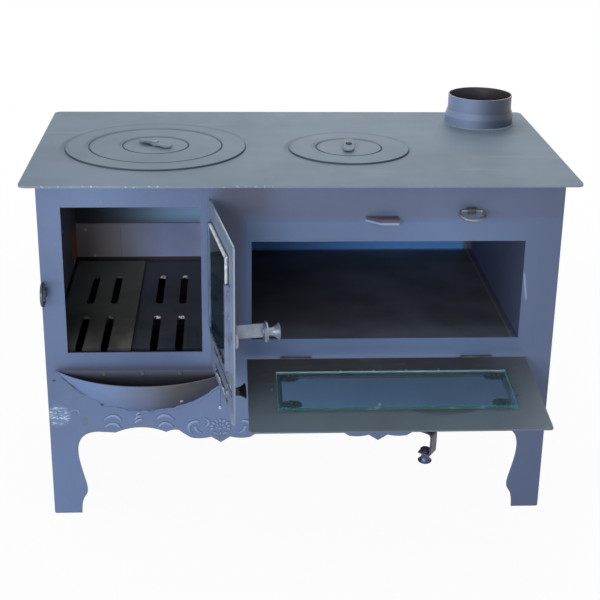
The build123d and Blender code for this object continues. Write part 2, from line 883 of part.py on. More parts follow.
def make_handle(base, seat, arm, tongue, width, height, bend, setback):
    """Bent strip: tongue and rivet on the door, an arm that stands out, and a flange for the knob."""
    side = Plane(origin=base.origin, x_dir=base.x_dir, z_dir=-base.y_dir)
    inner_bend = bend - handle_sheet
    inner_flange_bend = handle_flange_bend - handle_sheet
    with BuildPart() as strip:
        with BuildSketch(side):
            with BuildLine():
                outer = FilletPolyline(
                    (-tongue, seat),
                    (arm, seat),
                    (arm, height),
                    (arm - handle_flange, height),
                    radius=[bend, handle_flange_bend],
                )
                inner = FilletPolyline(
                    (arm - handle_flange, height - handle_sheet),
                    (arm - handle_sheet, height - handle_sheet),
                    (arm - handle_sheet, seat + handle_sheet),
                    (-tongue, seat + handle_sheet),
                    radius=[inner_flange_bend, inner_bend],
                )
                Line(outer @ 1, inner @ 0)
                Line(inner @ 1, outer @ 0)
            make_face()
        extrude(amount=width / 2, both=True)
        with BuildSketch(base.offset(seat)):
            rectangle(width / 2 - tongue, arm, -width / 2, width / 2)
            with Locations((width / 2 - tongue, 0)):
                Circle(width / 2)
        extrude(amount=height - seat, mode=Mode.INTERSECT)
        with BuildSketch(base.offset(seat)):
            Circle(handle_rivet_radius + pin_clearance)
        extrude(amount=handle_sheet, mode=Mode.SUBTRACT)
        with BuildSketch(base.offset(height - handle_sheet)):
            with Locations((arm - setback, 0)):
                Circle(stud_radius)
        extrude(amount=handle_sheet, mode=Mode.SUBTRACT)
    return strip.part


def handle_rivet_steps(seat):
    """Rivet through the door: its head traps the handle, and a collar lifts the handle off the door."""
    top = seat + handle_sheet + seat_gap
    steps = [
        (handle_rivet_head, -sheet_inner - handle_foot_height, -sheet_inner),
        (handle_rivet_radius, -sheet_inner, -sheet_outer),
        (handle_rivet_radius, seat - seat_gap, top),
        (handle_rivet_head, top, top + handle_rivet_height),
    ]
    if seat - seat_gap > -sheet_outer:
        steps.append((handle_collar_radius, -sheet_outer, seat - seat_gap))
    return steps


def make_knob(plane, place, base, scale, stud):
    """Bell knob that flares from its neck to a dished end; stud lists the pegs under it."""
    centre = plane.from_local_coords((place[0], place[1], 0))
    turn = Plane(origin=centre, x_dir=plane.x_dir, z_dir=-plane.y_dir)
    neck = knob_neck * scale
    rim = knob_radius * scale
    length = knob_length * scale
    end = base + length
    dish = knob_dish * scale
    with BuildPart() as knob:
        with BuildSketch(turn):
            with BuildLine():
                flare = Spline(
                    (neck, base),
                    (neck, base + length / 3),
                    (rim, end - dish / 2),
                    tangents=((0, 1), (1, 1)),
                )
                lip = ThreePointArc(flare @ 1, (rim - dish / 2, end), (rim - dish, end - dish / 3))
                Polyline(lip @ 1, (0, end - dish), (0, base), (neck, base))
            make_face()
        revolve(axis=Axis(centre, plane.z_dir))
        add(pegs(plane, [place], stud))
    return knob.part


def riveted_stud(tail, base):
    """Stud from a knob's base down to a riveted head past its tail."""
    return [(stud_head, tail - stud_head_height, tail), (stud_radius, tail, base)]


def make_washer(base, place, low, radius):
    """Flat washer round a knob's stud."""
    with BuildPart() as washer:
        with BuildSketch(base.offset(low)):
            with Locations(place):
                Circle(radius)
                Circle(stud_radius, mode=Mode.SUBTRACT)
        extrude(amount=washer_sheet)
    return washer.part


fire_handle_base = handle_base(fire_door, -fire_handle_pivot, fire_handle_level, 0)
keep(
    make_handle(
        fire_handle_base,
        handle_seat,
        fire_handle_arm,
        fire_handle_tongue,
        fire_handle_width,
        fire_handle_height,
        fire_handle_bend,
        fire_knob_setback,
    ),
    "firebox_handle",
)
keep(pegs(fire_handle_base, [(0, 0)], handle_rivet_steps(handle_seat)), "firebox_handle_rivet")
fire_knob_place = (fire_handle_arm - fire_knob_setback, 0)
keep(
    make_washer(fire_handle_base, fire_knob_place, fire_handle_height, fire_washer_radius),
    "firebox_handle_washer",
)
keep(
    make_knob(
        fire_handle_base,
        fire_knob_place,
        fire_handle_height + washer_sheet,
        1,
        riveted_stud(fire_handle_height - handle_sheet, fire_handle_height + washer_sheet),
    ),
    "firebox_handle_knob",
)

oven_handle_seat = handle_seat + trim_sheet
oven_handle_base = handle_base(oven_door, oven_handle_x, oven_handle_pivot, oven_handle_turn)
keep(
    make_handle(
        oven_handle_base,
        oven_handle_seat,
        oven_handle_arm,
        oven_handle_tongue,
        oven_handle_width,
        oven_handle_height,
        oven_handle_bend,
        oven_knob_setback,
    ),
    "oven_handle",
)
keep(pegs(oven_handle_base, [(0, 0)], handle_rivet_steps(oven_handle_seat)), "oven_handle_rivet")
oven_knob_place = (oven_handle_arm - oven_knob_setback, 0)
oven_washer_low = oven_handle_height - handle_sheet - washer_sheet
keep(
    make_washer(oven_handle_base, oven_knob_place, oven_washer_low, oven_washer_radius),
    "oven_handle_washer",
)
keep(
    make_knob(
        oven_handle_base,
        oven_knob_place,
        oven_handle_height,
        oven_knob_scale,
        riveted_stud(oven_washer_low, oven_handle_height),
    ),
    "oven_handle_knob",
)


# ================================================================ firebox door
strip_foot = strip_clearance + strip_sheet
free_rivet_x = -(glass_far + (strip_foot + free_strip_width) / 2)
hinge_rivet_x = -(glass_near - (strip_foot + hinge_strip_width) / 2)
lower_rivet_y = glass_bottom - (strip_foot + lower_strip_width) / 2
strip_rivets = [
    (x, strip_rivet_first + index * strip_rivet_pitch)
    for x in (free_rivet_x, hinge_rivet_x)
    for index in range(strip_rivet_count)
] + [
    (-(lower_rivet_first + index * lower_rivet_pitch), lower_rivet_y)
    for index in range(strip_rivet_count)
]
air_slots = [
    (-(air_slot_start + air_slot_length / 2 + index * air_slot_pitch), air_slot_level)
    for index in range(air_slot_count)
]
stud_slot = (
    -(slide_stud_reach + slide_stud_radius + stud_slot_gap),
    -(slide_stud_reach - air_travel - slide_stud_radius - stud_slot_gap),
)
stud_half = slide_stud_radius + stud_slot_gap

with BuildPart() as firebox_door:
    with BuildSketch(fire_door.offset(-sheet_inner)) as door_outline:
        rectangle(-fire_door_width, -leaf_near, fire_door_bottom, fire_door_top)
        fillet(door_outline.vertices().group_by(Axis.X)[0], door_corner)
    extrude(amount=door_sheet)
    with BuildSketch(fire_door.offset(-sheet_inner)):
        rectangle(
            -(glass_far - glass_lap),
            -(glass_near + glass_lap),
            glass_bottom + glass_lap,
            glass_top - glass_lap,
        )
        rectangle(*stud_slot, slide_stud_level - stud_half, slide_stud_level + stud_half)
        with Locations(*air_slots):
            Rectangle(air_slot_length, air_slot_height)
        with Locations(*strip_rivets):
            Circle(rivet_radius)
        with Locations((-fire_handle_pivot, fire_handle_level)):
            Circle(handle_rivet_radius)
    extrude(amount=door_sheet, mode=Mode.SUBTRACT)
keep(firebox_door.part, "firebox_door")

# The glass rests on a rope seal round the window, under bent strips riveted to the door.
glass_face = -sheet_inner - 2 * rope_radius
glass_back = glass_face - glass_sheet
keep(
    slab(fire_door, (-glass_far, glass_bottom, glass_back), (-glass_near, glass_top, glass_face)),
    "firebox_glass",
)

with BuildSketch(fire_door.offset(-sheet_inner - rope_radius)) as rope_outline:
    rectangle(
        -(glass_far - glass_lap / 2),
        -(glass_near + glass_lap / 2),
        glass_bottom + glass_lap / 2,
        glass_top - glass_lap / 2,
    )
    fillet(rope_outline.vertices(), 2 * rope_radius)
rope_path = rope_outline.sketch.face().outer_wire()
with BuildPart() as firebox_rope:
    with BuildSketch(Plane(origin=rope_path @ 0, z_dir=rope_path % 0)):
        Circle(rope_radius)
    sweep(path=rope_path)
keep(firebox_rope.part, "firebox_glass_rope")


def clamp_strip(plane, edge, way, width, length):
    """Bent strip: a foot on the door beyond the glass's edge and a lip over the glass.

    On the plane x runs out of the door and y across the edge; the strip runs along its z.
    """
    lip = glass_back - seat_gap
    near = edge + way * strip_clearance
    riser = near + way * strip_sheet
    with BuildPart() as strip:
        with BuildSketch(plane):
            with BuildLine():
                Polyline(
                    (-sheet_inner, edge + way * width),
                    (-sheet_inner, near),
                    (lip, near),
                    (lip, edge - way * strip_hook),
                    (lip - strip_sheet, edge - way * strip_hook),
                    (lip - strip_sheet, riser),
                    (-sheet_inner - strip_sheet, riser),
                    (-sheet_inner - strip_sheet, edge + way * width),
                    close=True,
                )
            make_face()
        extrude(amount=length)
    return strip.part


def strip_plane(x, y, along):
    """Plane across a strip that starts at (x, y) on the firebox door and runs along the given way."""
    start = fire_door.from_local_coords((x, y, 0))
    return Plane(origin=start, x_dir=fire_door.z_dir, z_dir=along)


with BuildPart() as side_strips:
    add(
        clamp_strip(
            strip_plane(-glass_far, glass_bottom, fire_door.y_dir),
            0,
            -1,
            free_strip_width,
            strip_top - glass_bottom,
        )
    )
    add(
        clamp_strip(
            strip_plane(-glass_near, glass_bottom, fire_door.y_dir),
            0,
            1,
            hinge_strip_width,
            glass_top - glass_bottom,
        )
    )
    with BuildSketch(fire_door.offset(-sheet_inner)):
        with Locations(*strip_rivets):
            Circle(rivet_radius)
    extrude(amount=-strip_sheet, mode=Mode.SUBTRACT)
keep(side_strips.part, "glass_side_strips")

with BuildPart() as bottom_strip:
    low_x = -(glass_far - strip_hook - strip_clearance)
    high_x = -(glass_near + strip_hook + strip_clearance)
    start_plane = strip_plane(low_x, glass_bottom, fire_door.x_dir)
    add(clamp_strip(start_plane, 0, 1, lower_strip_width, high_x - low_x))
    with BuildSketch(fire_door.offset(-sheet_inner)):
        with Locations(*strip_rivets):
            Circle(rivet_radius)
    extrude(amount=-strip_sheet, mode=Mode.SUBTRACT)
keep(bottom_strip.part, "glass_bottom_strip")

strip_rivet_steps = [
    (rivet_head, -sheet_inner - strip_sheet - rivet_head_height, -sheet_inner - strip_sheet),
    (rivet_radius, -sheet_inner - strip_sheet, -sheet_outer),
    (rivet_head, -sheet_outer, -sheet_outer + rivet_head_height),
]
keep(pegs(fire_door, strip_rivets, strip_rivet_steps), "glass_strip_rivets")

# ================================================================ air slide
slide_outer = -sheet_inner - seat_gap
slide_inner = slide_outer - slide_sheet
with BuildPart() as air_slide:
    add(
        slab(
            fire_door,
            (-slide_far, slide_bottom, slide_inner),
            (-slide_near, slide_bottom + slide_height, slide_outer),
        )
    )
    with BuildSketch(fire_door.offset(slide_inner)):
        with Locations(*air_slots):
            Rectangle(air_slot_length, air_slot_height)
        with Locations((-slide_stud_reach, slide_stud_level)):
            Circle(slide_stud_radius)
    extrude(amount=slide_sheet, mode=Mode.SUBTRACT)
keep(air_slide.part, "air_slide")

slide_nut_face = slide_inner - slide_nut_height
with BuildPart() as slide_nut:
    with BuildSketch(fire_door.offset(slide_nut_face)):
        with Locations((-slide_stud_reach, slide_stud_level)):
            RegularPolygon(slide_nut_radius, 6)
            Circle(slide_stud_radius, mode=Mode.SUBTRACT)
    extrude(amount=slide_nut_height)
keep(slide_nut.part, "air_slide_nut")

slide_knob_seat = -sheet_outer + seat_gap
slide_knob_base = slide_knob_seat + slide_collar_height
slide_knob_plane = handle_base(fire_door, -slide_stud_reach, slide_stud_level, 0)
slide_stud = [
    (slide_collar, slide_knob_seat, slide_knob_base),
    (slide_stud_radius, slide_nut_face, slide_knob_seat),
]
keep(make_knob(slide_knob_plane, (0, 0), slide_knob_base, 1, slide_stud), "air_slide_knob")

with BuildPart() as slide_clips:
    rise = slide_inner - seat_gap
    for reach in (slide_near + clip_inset, slide_far - clip_inset):
        for edge, way in ((slide_bottom, -1), (slide_bottom + slide_height, 1)):
            near = edge + way * stud_slot_gap
            far = near + way * clip_sheet
            hook = edge - way * clip_hook
            low_x = -reach - clip_width / 2
            high_x = -reach + clip_width / 2
            low_y, high_y = sorted((near, far))
            add(slab(fire_door, (low_x, low_y, rise - clip_sheet), (high_x, high_y, -sheet_inner)))
            low_y, high_y = sorted((hook, far))
            add(slab(fire_door, (low_x, low_y, rise - clip_sheet), (high_x, high_y, rise)))
keep(slide_clips.part, "air_slide_clips")

# ================================================================ oven door
window_left = oven_glass_left + oven_glass_lap
window_right = oven_glass_right - oven_glass_lap
window_near = oven_glass_near + oven_glass_lap
window_far = oven_glass_far - oven_glass_lap
trim_left = oven_glass_left - trim_band
trim_right = oven_glass_right + trim_band
trim_bottom = oven_glass_near - trim_far_band
trim_top = oven_glass_far + trim_near_band
oven_middle = (oven_door_left + oven_door_right) / 2
row_start = oven_middle - (trim_row_count - 1) * trim_row_pitch / 2
row_level = (trim_bottom + oven_glass_near) / 2
side_level = (oven_glass_near + oven_glass_far) / 2
trim_screws = [(row_start + index * trim_row_pitch, row_level) for index in range(trim_row_count)] + [
    (x, side_level + shift)
    for x in (oven_glass_left - trim_band / 2, oven_glass_right + trim_band / 2)
    for shift in (-trim_side_pitch / 2, trim_side_pitch / 2)
]

with BuildPart() as oven_door_sheet:
    with BuildSketch(oven_door.offset(-sheet_inner)) as door_outline:
        rectangle(oven_door_left, oven_door_right, leaf_near, oven_door_length)
        fillet(door_outline.vertices().group_by(Axis.Y)[-1], door_corner)
    extrude(amount=door_sheet)
    with BuildSketch(oven_door.offset(-sheet_inner)):
        rectangle(window_left, window_right, window_near, window_far)
        with Locations(*trim_screws):
            Circle(screw_radius)
        with Locations((oven_handle_x, oven_handle_pivot)):
            Circle(handle_rivet_radius)
    extrude(amount=door_sheet, mode=Mode.SUBTRACT)
keep(oven_door_sheet.part, "oven_door")

with BuildPart() as oven_trim:
    with BuildSketch(oven_door.offset(-sheet_outer)):
        rectangle(trim_left, trim_right, trim_bottom, trim_top)
    extrude(amount=trim_sheet)
    with BuildSketch(oven_door.offset(-sheet_outer)):
        rectangle(window_left, window_right, window_near, window_far)
        with Locations(*trim_screws):
            Circle(screw_radius)
    extrude(amount=trim_sheet, mode=Mode.SUBTRACT)
keep(oven_trim.part, "oven_window_trim")

trim_outer = -sheet_outer + trim_sheet
trim_screw_steps = [
    (screw_head, trim_outer, trim_outer + screw_head_height),
    (screw_radius, -sheet_inner - screw_nut_height, trim_outer),
]
keep(pegs(oven_door, trim_screws, trim_screw_steps), "oven_trim_screws")

pad_face = -sheet_inner - pad_sheet
keep(
    slab(
        oven_door,
        (oven_glass_left, oven_glass_near, pad_face - oven_glass_sheet),
        (oven_glass_right, oven_glass_far, pad_face),
    ),
    "oven_glass",
)

with BuildPart() as oven_pads:
    with BuildSketch(oven_door.offset(pad_face)):
        for x in (oven_glass_left + pad_inset_x, oven_glass_right - pad_inset_x):
            for y in (oven_glass_near + pad_inset_y, oven_glass_far - pad_inset_y):
                with Locations((x, y)):
                    Ellipse(pad_length / 2, pad_width / 2)
    extrude(amount=pad_sheet)
keep(oven_pads.part, "oven_glass_pads")


# ================================================================ ring catches
def make_catch(plane, radius):
    """D-shaped ring of round bar: x runs along its straight side, y out to its curved side."""
    with BuildSketch(plane) as outline:
        with Locations((0, catch_chord)):
            Circle(radius)
        with Locations((0, -radius)):
            Rectangle(4 * radius, 2 * radius, mode=Mode.SUBTRACT)
        fillet(outline.vertices(), catch_bend)
    path = outline.sketch.face().outer_wire()
    with BuildPart() as ring:
        with BuildSketch(Plane(origin=path @ 0, z_dir=path % 0)):
            Circle(catch_bar)
        sweep(path=path)
    return ring.part


def make_bracket(axis_plane):
    """Short sleeve round the ring's straight side, on a web from the panel.

    On the plane z runs along the sleeve and y into the panel.
    """
    outer = catch_bar + bracket_wall
    with BuildPart() as bracket:
        with BuildSketch(axis_plane.offset(-bracket_length / 2)):
            Circle(outer)
            rectangle(-bracket_web / 2, bracket_web / 2, 0, catch_stand)
            Circle(catch_bar + pin_clearance, mode=Mode.SUBTRACT)
        extrude(amount=bracket_length)
    return bracket.part


fire_catch_origin = (fire_catch_inset - half_width, front_y - catch_stand, fire_catch_level)
oven_catch_origin = (oven_catch_x, front_y - catch_stand, oven_catch_height)
fire_catch_plane = Plane(origin=fire_catch_origin, x_dir=(0, 0, 1), z_dir=(1, 0, 0))
oven_catch_reach = Vector(0, -1, 0).rotate(Axis.X, oven_catch_droop)
oven_catch_plane = Plane(
    origin=oven_catch_origin, x_dir=(1, 0, 0), z_dir=Vector(1, 0, 0).cross(oven_catch_reach)
)
keep(make_catch(fire_catch_plane, fire_catch_radius), "firebox_ring_catch")
keep(make_catch(oven_catch_plane, oven_catch_radius), "oven_ring_catch")

with BuildPart() as catch_brackets:
    add(make_bracket(Plane(origin=fire_catch_origin, x_dir=(1, 0, 0), z_dir=(0, 0, 1))))
    add(make_bracket(Plane(origin=oven_catch_origin, x_dir=(0, 0, -1), z_dir=(1, 0, 0))))
keep(catch_brackets.part, "ring_catch_brackets")

# ================================================================ latch keeper
with BuildPart() as latch_keeper:
    with BuildSketch(Plane.XY.offset(keeper_top - keeper_height)) as ramp:
        with BuildLine():
            Polyline(
                (keeper_left, front_y),
                (keeper_left + keeper_taper, front_y - keeper_reach),
                (keeper_left + keeper_width, front_y - keeper_reach),
                (keeper_left + keeper_width, front_y),
                close=True,
            )
        make_face()
    extrude(amount=keeper_height)
    with BuildSketch(Plane.XY.offset(keeper_top - keeper_height)):
        with BuildLine():
            Polyline(
                (keeper_left + keeper_sheet, front_y),
                (keeper_left + keeper_taper + keeper_sheet, front_y - keeper_reach + keeper_sheet),
                (keeper_left + keeper_width, front_y - keeper_reach + keeper_sheet),
                (keeper_left + keeper_width, front_y),
                close=True,
            )
        make_face()
    extrude(amount=keeper_height - keeper_sheet, mode=Mode.SUBTRACT)
keep(latch_keeper.part, "oven_latch_keeper")
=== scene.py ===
"""Looks of a sheet-steel wood cookstove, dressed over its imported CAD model."""

from functools import cached_property

import bpy
import numpy as np
from mathutils import Matrix, Vector


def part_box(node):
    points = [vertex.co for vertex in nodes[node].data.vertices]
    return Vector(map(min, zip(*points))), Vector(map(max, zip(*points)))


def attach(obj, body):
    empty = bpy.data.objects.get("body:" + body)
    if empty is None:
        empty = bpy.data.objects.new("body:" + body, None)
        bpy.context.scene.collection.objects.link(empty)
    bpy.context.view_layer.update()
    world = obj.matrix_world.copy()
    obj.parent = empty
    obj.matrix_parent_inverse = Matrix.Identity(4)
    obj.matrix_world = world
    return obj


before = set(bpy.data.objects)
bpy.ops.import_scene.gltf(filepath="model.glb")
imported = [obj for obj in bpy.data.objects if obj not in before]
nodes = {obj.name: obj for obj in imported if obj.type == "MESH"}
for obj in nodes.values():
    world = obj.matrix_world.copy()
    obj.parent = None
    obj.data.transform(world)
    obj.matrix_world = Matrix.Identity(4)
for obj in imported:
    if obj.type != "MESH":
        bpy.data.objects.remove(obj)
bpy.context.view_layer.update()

# ---------------------------------------------------------------- places, in metres
# The front panel's room face, the top of the cooktop, and the firebox door's hinge pin with the
# door's turn at rest, measured from shut.
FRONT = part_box("front_panel")[0].y
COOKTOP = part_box("cooktop_plate")[1].z
PIN_X = -0.1645
PIN_STAND = 0.005
DOOR_TURN = np.radians(99.0)

# Axes across, up and out: of the front panel, and of the firebox door as it stands open.
FRONT_ORIGIN = np.array([0, FRONT, 0])
FRONT_AXES = np.array([[1, 0, 0], [0, 0, 1], [0, -1, 0]], float)
DOOR_ORIGIN = np.array([PIN_X, FRONT - PIN_STAND, 0])
DOOR_AXES = np.array(
    [
        [-np.cos(DOOR_TURN), -np.sin(DOOR_TURN), 0],
        [0, 0, 1],
        [np.sin(DOOR_TURN), -np.cos(DOOR_TURN), 0],
    ]
)

# Burners: the middle's x, its distance behind the front panel, and the radii of the joints.
BURNERS = (
    (-0.2715, 0.241, (0.1725, 0.1265, 0.0625)),
    (0.0995, 0.226, (0.116, 0.0625)),
)

# Ash catcher, in millimetres: its rim is an arc, and its sheet slopes back over the run.
CATCHER_X = -287.0
CATCHER_HALF_WIDTH = 166.0
CATCHER_DEPTH = 75.0
CATCHER_RUN = 84.0
CATCHER_RIM_Z = 301.0

# Raised shapes, in millimetres: how far they are sunk in the sheet that carries them.
SUNK = 0.3


# ================================================================ materials
def rgb(red, green, blue):
    """Colour on the 0 to 255 scale of a screen, as the linear colour a socket takes."""
    c = np.array([red, green, blue]) / 255
    return (*np.where(c <= 0.04045, c / 12.92, ((c + 0.055) / 1.055) ** 2.4), 1.0)


class Value:
    """One socket of a material. Arithmetic on it adds Math nodes."""

    def __init__(self, finish, socket):
        self.finish = finish
        self.socket = socket

    def math(self, operation, *values):
        return self.finish.node("Math", {"operation": operation}, values)

    def __add__(self, other):
        return self.math("ADD", self, other)

    def __sub__(self, other):
        return self.math("SUBTRACT", self, other)

    def __rsub__(self, other):
        return self.math("SUBTRACT", other, self)

    def __mul__(self, other):
        return self.math("MULTIPLY", self, other)

    def __pow__(self, other):
        return self.math("POWER", self, other)

    __radd__ = __add__
    __rmul__ = __mul__

    def top(self, other):
        """The larger of two values."""
        return self.math("MAXIMUM", self, other)

    def rise(self, low, high):
        """0 at low, 1 at high, a smooth step between them, and level beyond them."""
        return self.finish.node(
            "MapRange",
            {"interpolation_type": "SMOOTHSTEP"},
            {"Value": self, "From Min": low, "From Max": high},
        )

    def inside(self, low, high, edge):
        """1 between low and high, fading out over edge on both sides."""
        return self.rise(low - edge, low + edge) * (1 - self.rise(high - edge, high + edge))


class Finish:
    """The shader tree of a material, or of the world, under construction."""

    def __init__(self, name, kind="materials"):
        self.owner = getattr(bpy.data, kind).new(name)
        self.owner.use_nodes = True
        self.tree = self.owner.node_tree
        self.tree.nodes.clear()

    @cached_property
    def place(self):
        return self.node("TexCoord", out="Object")

    @cached_property
    def x(self):
        return self.node("SeparateXYZ", values=[self.place], out=0)

    @cached_property
    def y(self):
        return self.node("SeparateXYZ", values=[self.place], out=1)

    @cached_property
    def z(self):
        return self.node("SeparateXYZ", values=[self.place], out=2)

    @cached_property
    def facing_back(self):
        """How far the surface faces the back of the stove, from -1 to 1."""
        normal = self.node("TexCoord", out="Normal")
        return self.node("SeparateXYZ", values=[normal], out=1)

    def oval(self, middle, halves, axes="xz"):
        """1 at the edge of an oval on two of the axes, 0 at its middle, and more outside."""
        across, along = (
            (getattr(self, axis) - place) * (1 / half)
            for axis, place, half in zip(axes, middle, halves)
        )
        return across * across + along * along

    def polar(self, x, y):
        """Places across and along from an upright line at (x, y), and the distance from it."""
        across = self.x - x
        along = self.y - y
        return across, along, (across * across + along * along) ** 0.5

    def node(self, kind, settings=None, values=(), out=0):
        """A node of any type: its settings are set first, then its sockets' values or links."""
        made = self.tree.nodes.new("ShaderNode" + kind)
        for key, value in (settings or {}).items():
            setattr(made, key, value)
        pairs = values.items() if isinstance(values, dict) else enumerate(values)
        for key, value in pairs:
            if isinstance(value, Value):
                self.tree.links.new(value.socket, made.inputs[key])
            else:
                made.inputs[key].default_value = value
        return Value(self, made.outputs[out]) if made.outputs else None

    def mapped(self, stretch, turn):
        """The place on the piece, turned about the axes and scaled along each."""
        values = {"Vector": self.place, "Rotation": turn, "Scale": stretch}
        return self.node("Mapping", {"vector_type": "POINT"}, values)

    def noise(self, scale, detail=2.0, stretch=None, rough=0.5, turn=(0, 0, 0)):
        """Noise from 0 to 1, with scale in cells per metre, times stretch along each axis."""
        place = self.mapped(stretch, turn) if stretch else self.place
        values = {"Vector": place, "Scale": scale, "Detail": detail, "Roughness": rough}
        return self.node("TexNoise", values=values)

    def blend(self, factor, first, second):
        """Colour that goes from first to second as factor goes from 0 to 1."""
        settings = {"data_type": "RGBA", "clamp_factor": True}
        return self.node("Mix", settings, {0: factor, 6: first, 7: second}, out=2)

    def cloudy(self, first, second, scale, spread=0.16, detail=3.0):
        """Two colours in soft clouds of about 1 / scale metres."""
        clouds = self.noise(scale, detail).rise(0.5 - spread, 0.5 + spread)
        return self.blend(clouds, first, second)

    def bump(self, height, depth):
        """Normal of a surface that rises by depth metres as height goes from 0 to 1."""
        return self.node("Bump", values={"Height": height, "Distance": depth, "Strength": 1.0})

    def end(self, color, rough, metal=0.0, normal=None, **sockets):
        """Closes the tree in a Principled BSDF; sockets are values that are the same all over."""
        values = {"Base Color": color, "Roughness": rough, "Metallic": metal}
        if normal is not None:
            values["Normal"] = normal
        values.update({name.replace("_", " "): value for name, value in sockets.items()})
        shader = self.node("BsdfPrincipled", values=values)
        self.node("OutputMaterial", values={"Surface": shader})
        return self.owner


def tint(color, share):
    """The same colour, lighter or darker by a share."""
    return rgb(*[min(255, c * share) for c in color])


def satin_paint(name, light, dark, marks=None, rough=0.44, gloss=0.45):
    """Sprayed stove paint: soft clouds, faint drag streaks, fine speckle and orange peel."""
    f = Finish(name)
    color = f.cloudy(rgb(*light), rgb(*dark), 3.2)
    streaks = f.noise(9.0, 4.0, (1.0, 1.0, 0.12)).rise(0.45, 0.72)
    color = f.blend(streaks * 0.18, color, tint(dark, 0.86))
    speck = f.noise(700.0, 1.0)
    color = f.blend(speck.rise(0.6, 0.75) * 0.14, color, tint(light, 1.22))
    color = f.blend(speck.rise(0.4, 0.25) * 0.12, color, tint(dark, 0.7))
    roughness = f.noise(24.0, 3.0) * 0.16 + (rough - 0.08)
    if marks:
        color, roughness = marks(f, color, roughness)
    height = f.noise(330.0, 2.0) * 0.6 + f.noise(45.0, 2.0)
    return f.end(color, roughness, 0.0, f.bump(height, 0.00022), Specular_IOR_Level=gloss)


def front_marks(f, color, rough):
    """The front's marks: a band kept clean by the shut oven door, soot and painted shade over the
    catcher's mouth, a scuffed leg, painted shade to the right and beside the open firebox door, and
    a painted highlight on the oven opening's right edge.
    """
    band = f.x.inside(-0.1005, 0.428, 0.0025) * f.z.inside(0.30, 0.587, 0.0025)
    color = f.blend(band * 0.5, color, rgb(104, 126, 166))
    above = f.x.rise(-0.165, -0.12) * f.z.rise(0.588, 0.60)
    color = f.blend(above * 0.45, color, rgb(96, 96, 116))
    # Painted shade by the top of the open firebox door.
    corner = f.x.inside(-0.16, -0.06, 0.03) * f.z.inside(0.605, 0.68, 0.012)
    color = f.blend(corner * 0.5, color, rgb(72, 70, 78))
    # Painted shade: darker towards the right end of the front.
    color = f.blend(f.x.rise(0.25, 0.46) * 0.55, color, rgb(78, 88, 114))
    # Painted shadow of the open firebox door on the panel beside it.
    door_shadow = f.x.inside(-0.155, -0.108, 0.012) * f.z.inside(0.35, 0.61, 0.02)
    color = f.blend(door_shadow * 0.5, color, rgb(84, 78, 84))
    # Soot and painted shade on the panel just above the catcher's mouth.
    soot = f.x.inside(-0.452, -0.122, 0.012) * (1 - f.z.rise(0.298, 0.32))
    color = f.blend(soot * f.z.rise(0.296, 0.298) * 0.75, color, rgb(70, 68, 80))
    blot = f.oval((-0.4565, 0.2808), (0.0045, 0.0022)) + f.noise(420.0, 3.0) * 1.6
    color = f.blend((1 - blot.rise(1.3, 1.7)) * 0.85, color, rgb(46, 44, 56))
    rubbed = f.oval((-0.452, 0.208), (0.022, 0.023)) + f.noise(60.0, 3.0) * 1.2
    scuff = 1 - rubbed.rise(0.9, 1.9)
    strands = f.noise(85.0, 5.0, (1.0, 1.0, 4.5), 0.75, (0, 0.7, 0))
    color = f.blend(scuff * 0.5, color, rgb(118, 146, 186))
    color = f.blend(scuff * strands.rise(0.53, 0.6) * 0.95, color, rgb(214, 226, 238))
    sweep = f.oval((-0.4225, 0.214), (0.0085, 0.0062))
    arc = sweep.inside(0.78, 1.06, 0.1) * (f.z + f.x * 0.2).rise(0.128, 0.132)
    color = f.blend(arc * 0.5, color, rgb(166, 188, 214))
    run = f.oval((-0.4045, 0.197), (0.008, 0.011)) + f.noise(120.0, 3.0)
    oil = 1 - run.rise(1.0, 1.5)
    color = f.blend(oil * 0.5, color, rgb(92, 108, 110))
    chip = f.noise(210.0, 2.0).rise(0.76, 0.8) * f.noise(5.0, 1.0).rise(0.5, 0.7)
    color = f.blend(chip * 0.7, color, rgb(160, 176, 200))
    line = f.x.inside(-0.1502, -0.1492, 0.0003) * f.z.inside(0.226, 0.262, 0.001)
    color = f.blend(line * 0.85, color, rgb(40, 46, 62))
    # Painted highlight: a light streak on the oven opening's right edge.
    jamb_highlight = (f.x + f.z * 0.14).inside(0.4735, 0.4768, 0.0008) * f.z.inside(0.437, 0.487, 0.006)
    color = f.blend(jamb_highlight * 0.7, color, rgb(150, 172, 200))
    return color, rough + scuff * 0.2


def catcher_marks(f, color, rough):
    """The ash catcher: painted light on its left, painted shade and soot towards its right end,
    soot and painted shade inside, lighter along the rim.
    """
    # Painted light on the catcher's left.
    color = f.blend((1 - f.x.rise(-0.39, -0.27)) * 0.6, color, rgb(122, 150, 198))
    # Painted shade towards its right.
    color = f.blend(f.x.rise(-0.36, -0.23) * 0.7, color, rgb(62, 68, 84))
    # Soot and painted shade at its right end.
    soot_and_shade_right = (f.x + f.noise(34.0, 4.0) * 0.03).rise(-0.272, -0.205)
    color = f.blend(soot_and_shade_right * 0.92, color, rgb(46, 44, 52))
    # Soot and painted shade, deepest at the foot of the back leaf.
    back_leaf = f.y.rise(FRONT - 0.0029, FRONT - 0.0022) * f.z.rise(0.262, 0.268)
    pocket_shade = f.blend(f.z.rise(0.284, 0.302), rgb(52, 51, 60), rgb(94, 102, 124))
    color = f.blend(back_leaf, color, pocket_shade)
    # Soot and painted shade on the sheet's inner face.
    color = f.blend(f.facing_back.rise(0.05, 0.3), color, rgb(48, 44, 50))
    rim = f.z.rise(0.2994, 0.3004) * (1 - f.y.rise(FRONT - 0.004, FRONT - 0.002))
    color = f.blend(rim * 0.7, color, rgb(130, 126, 132))
    return color, rough


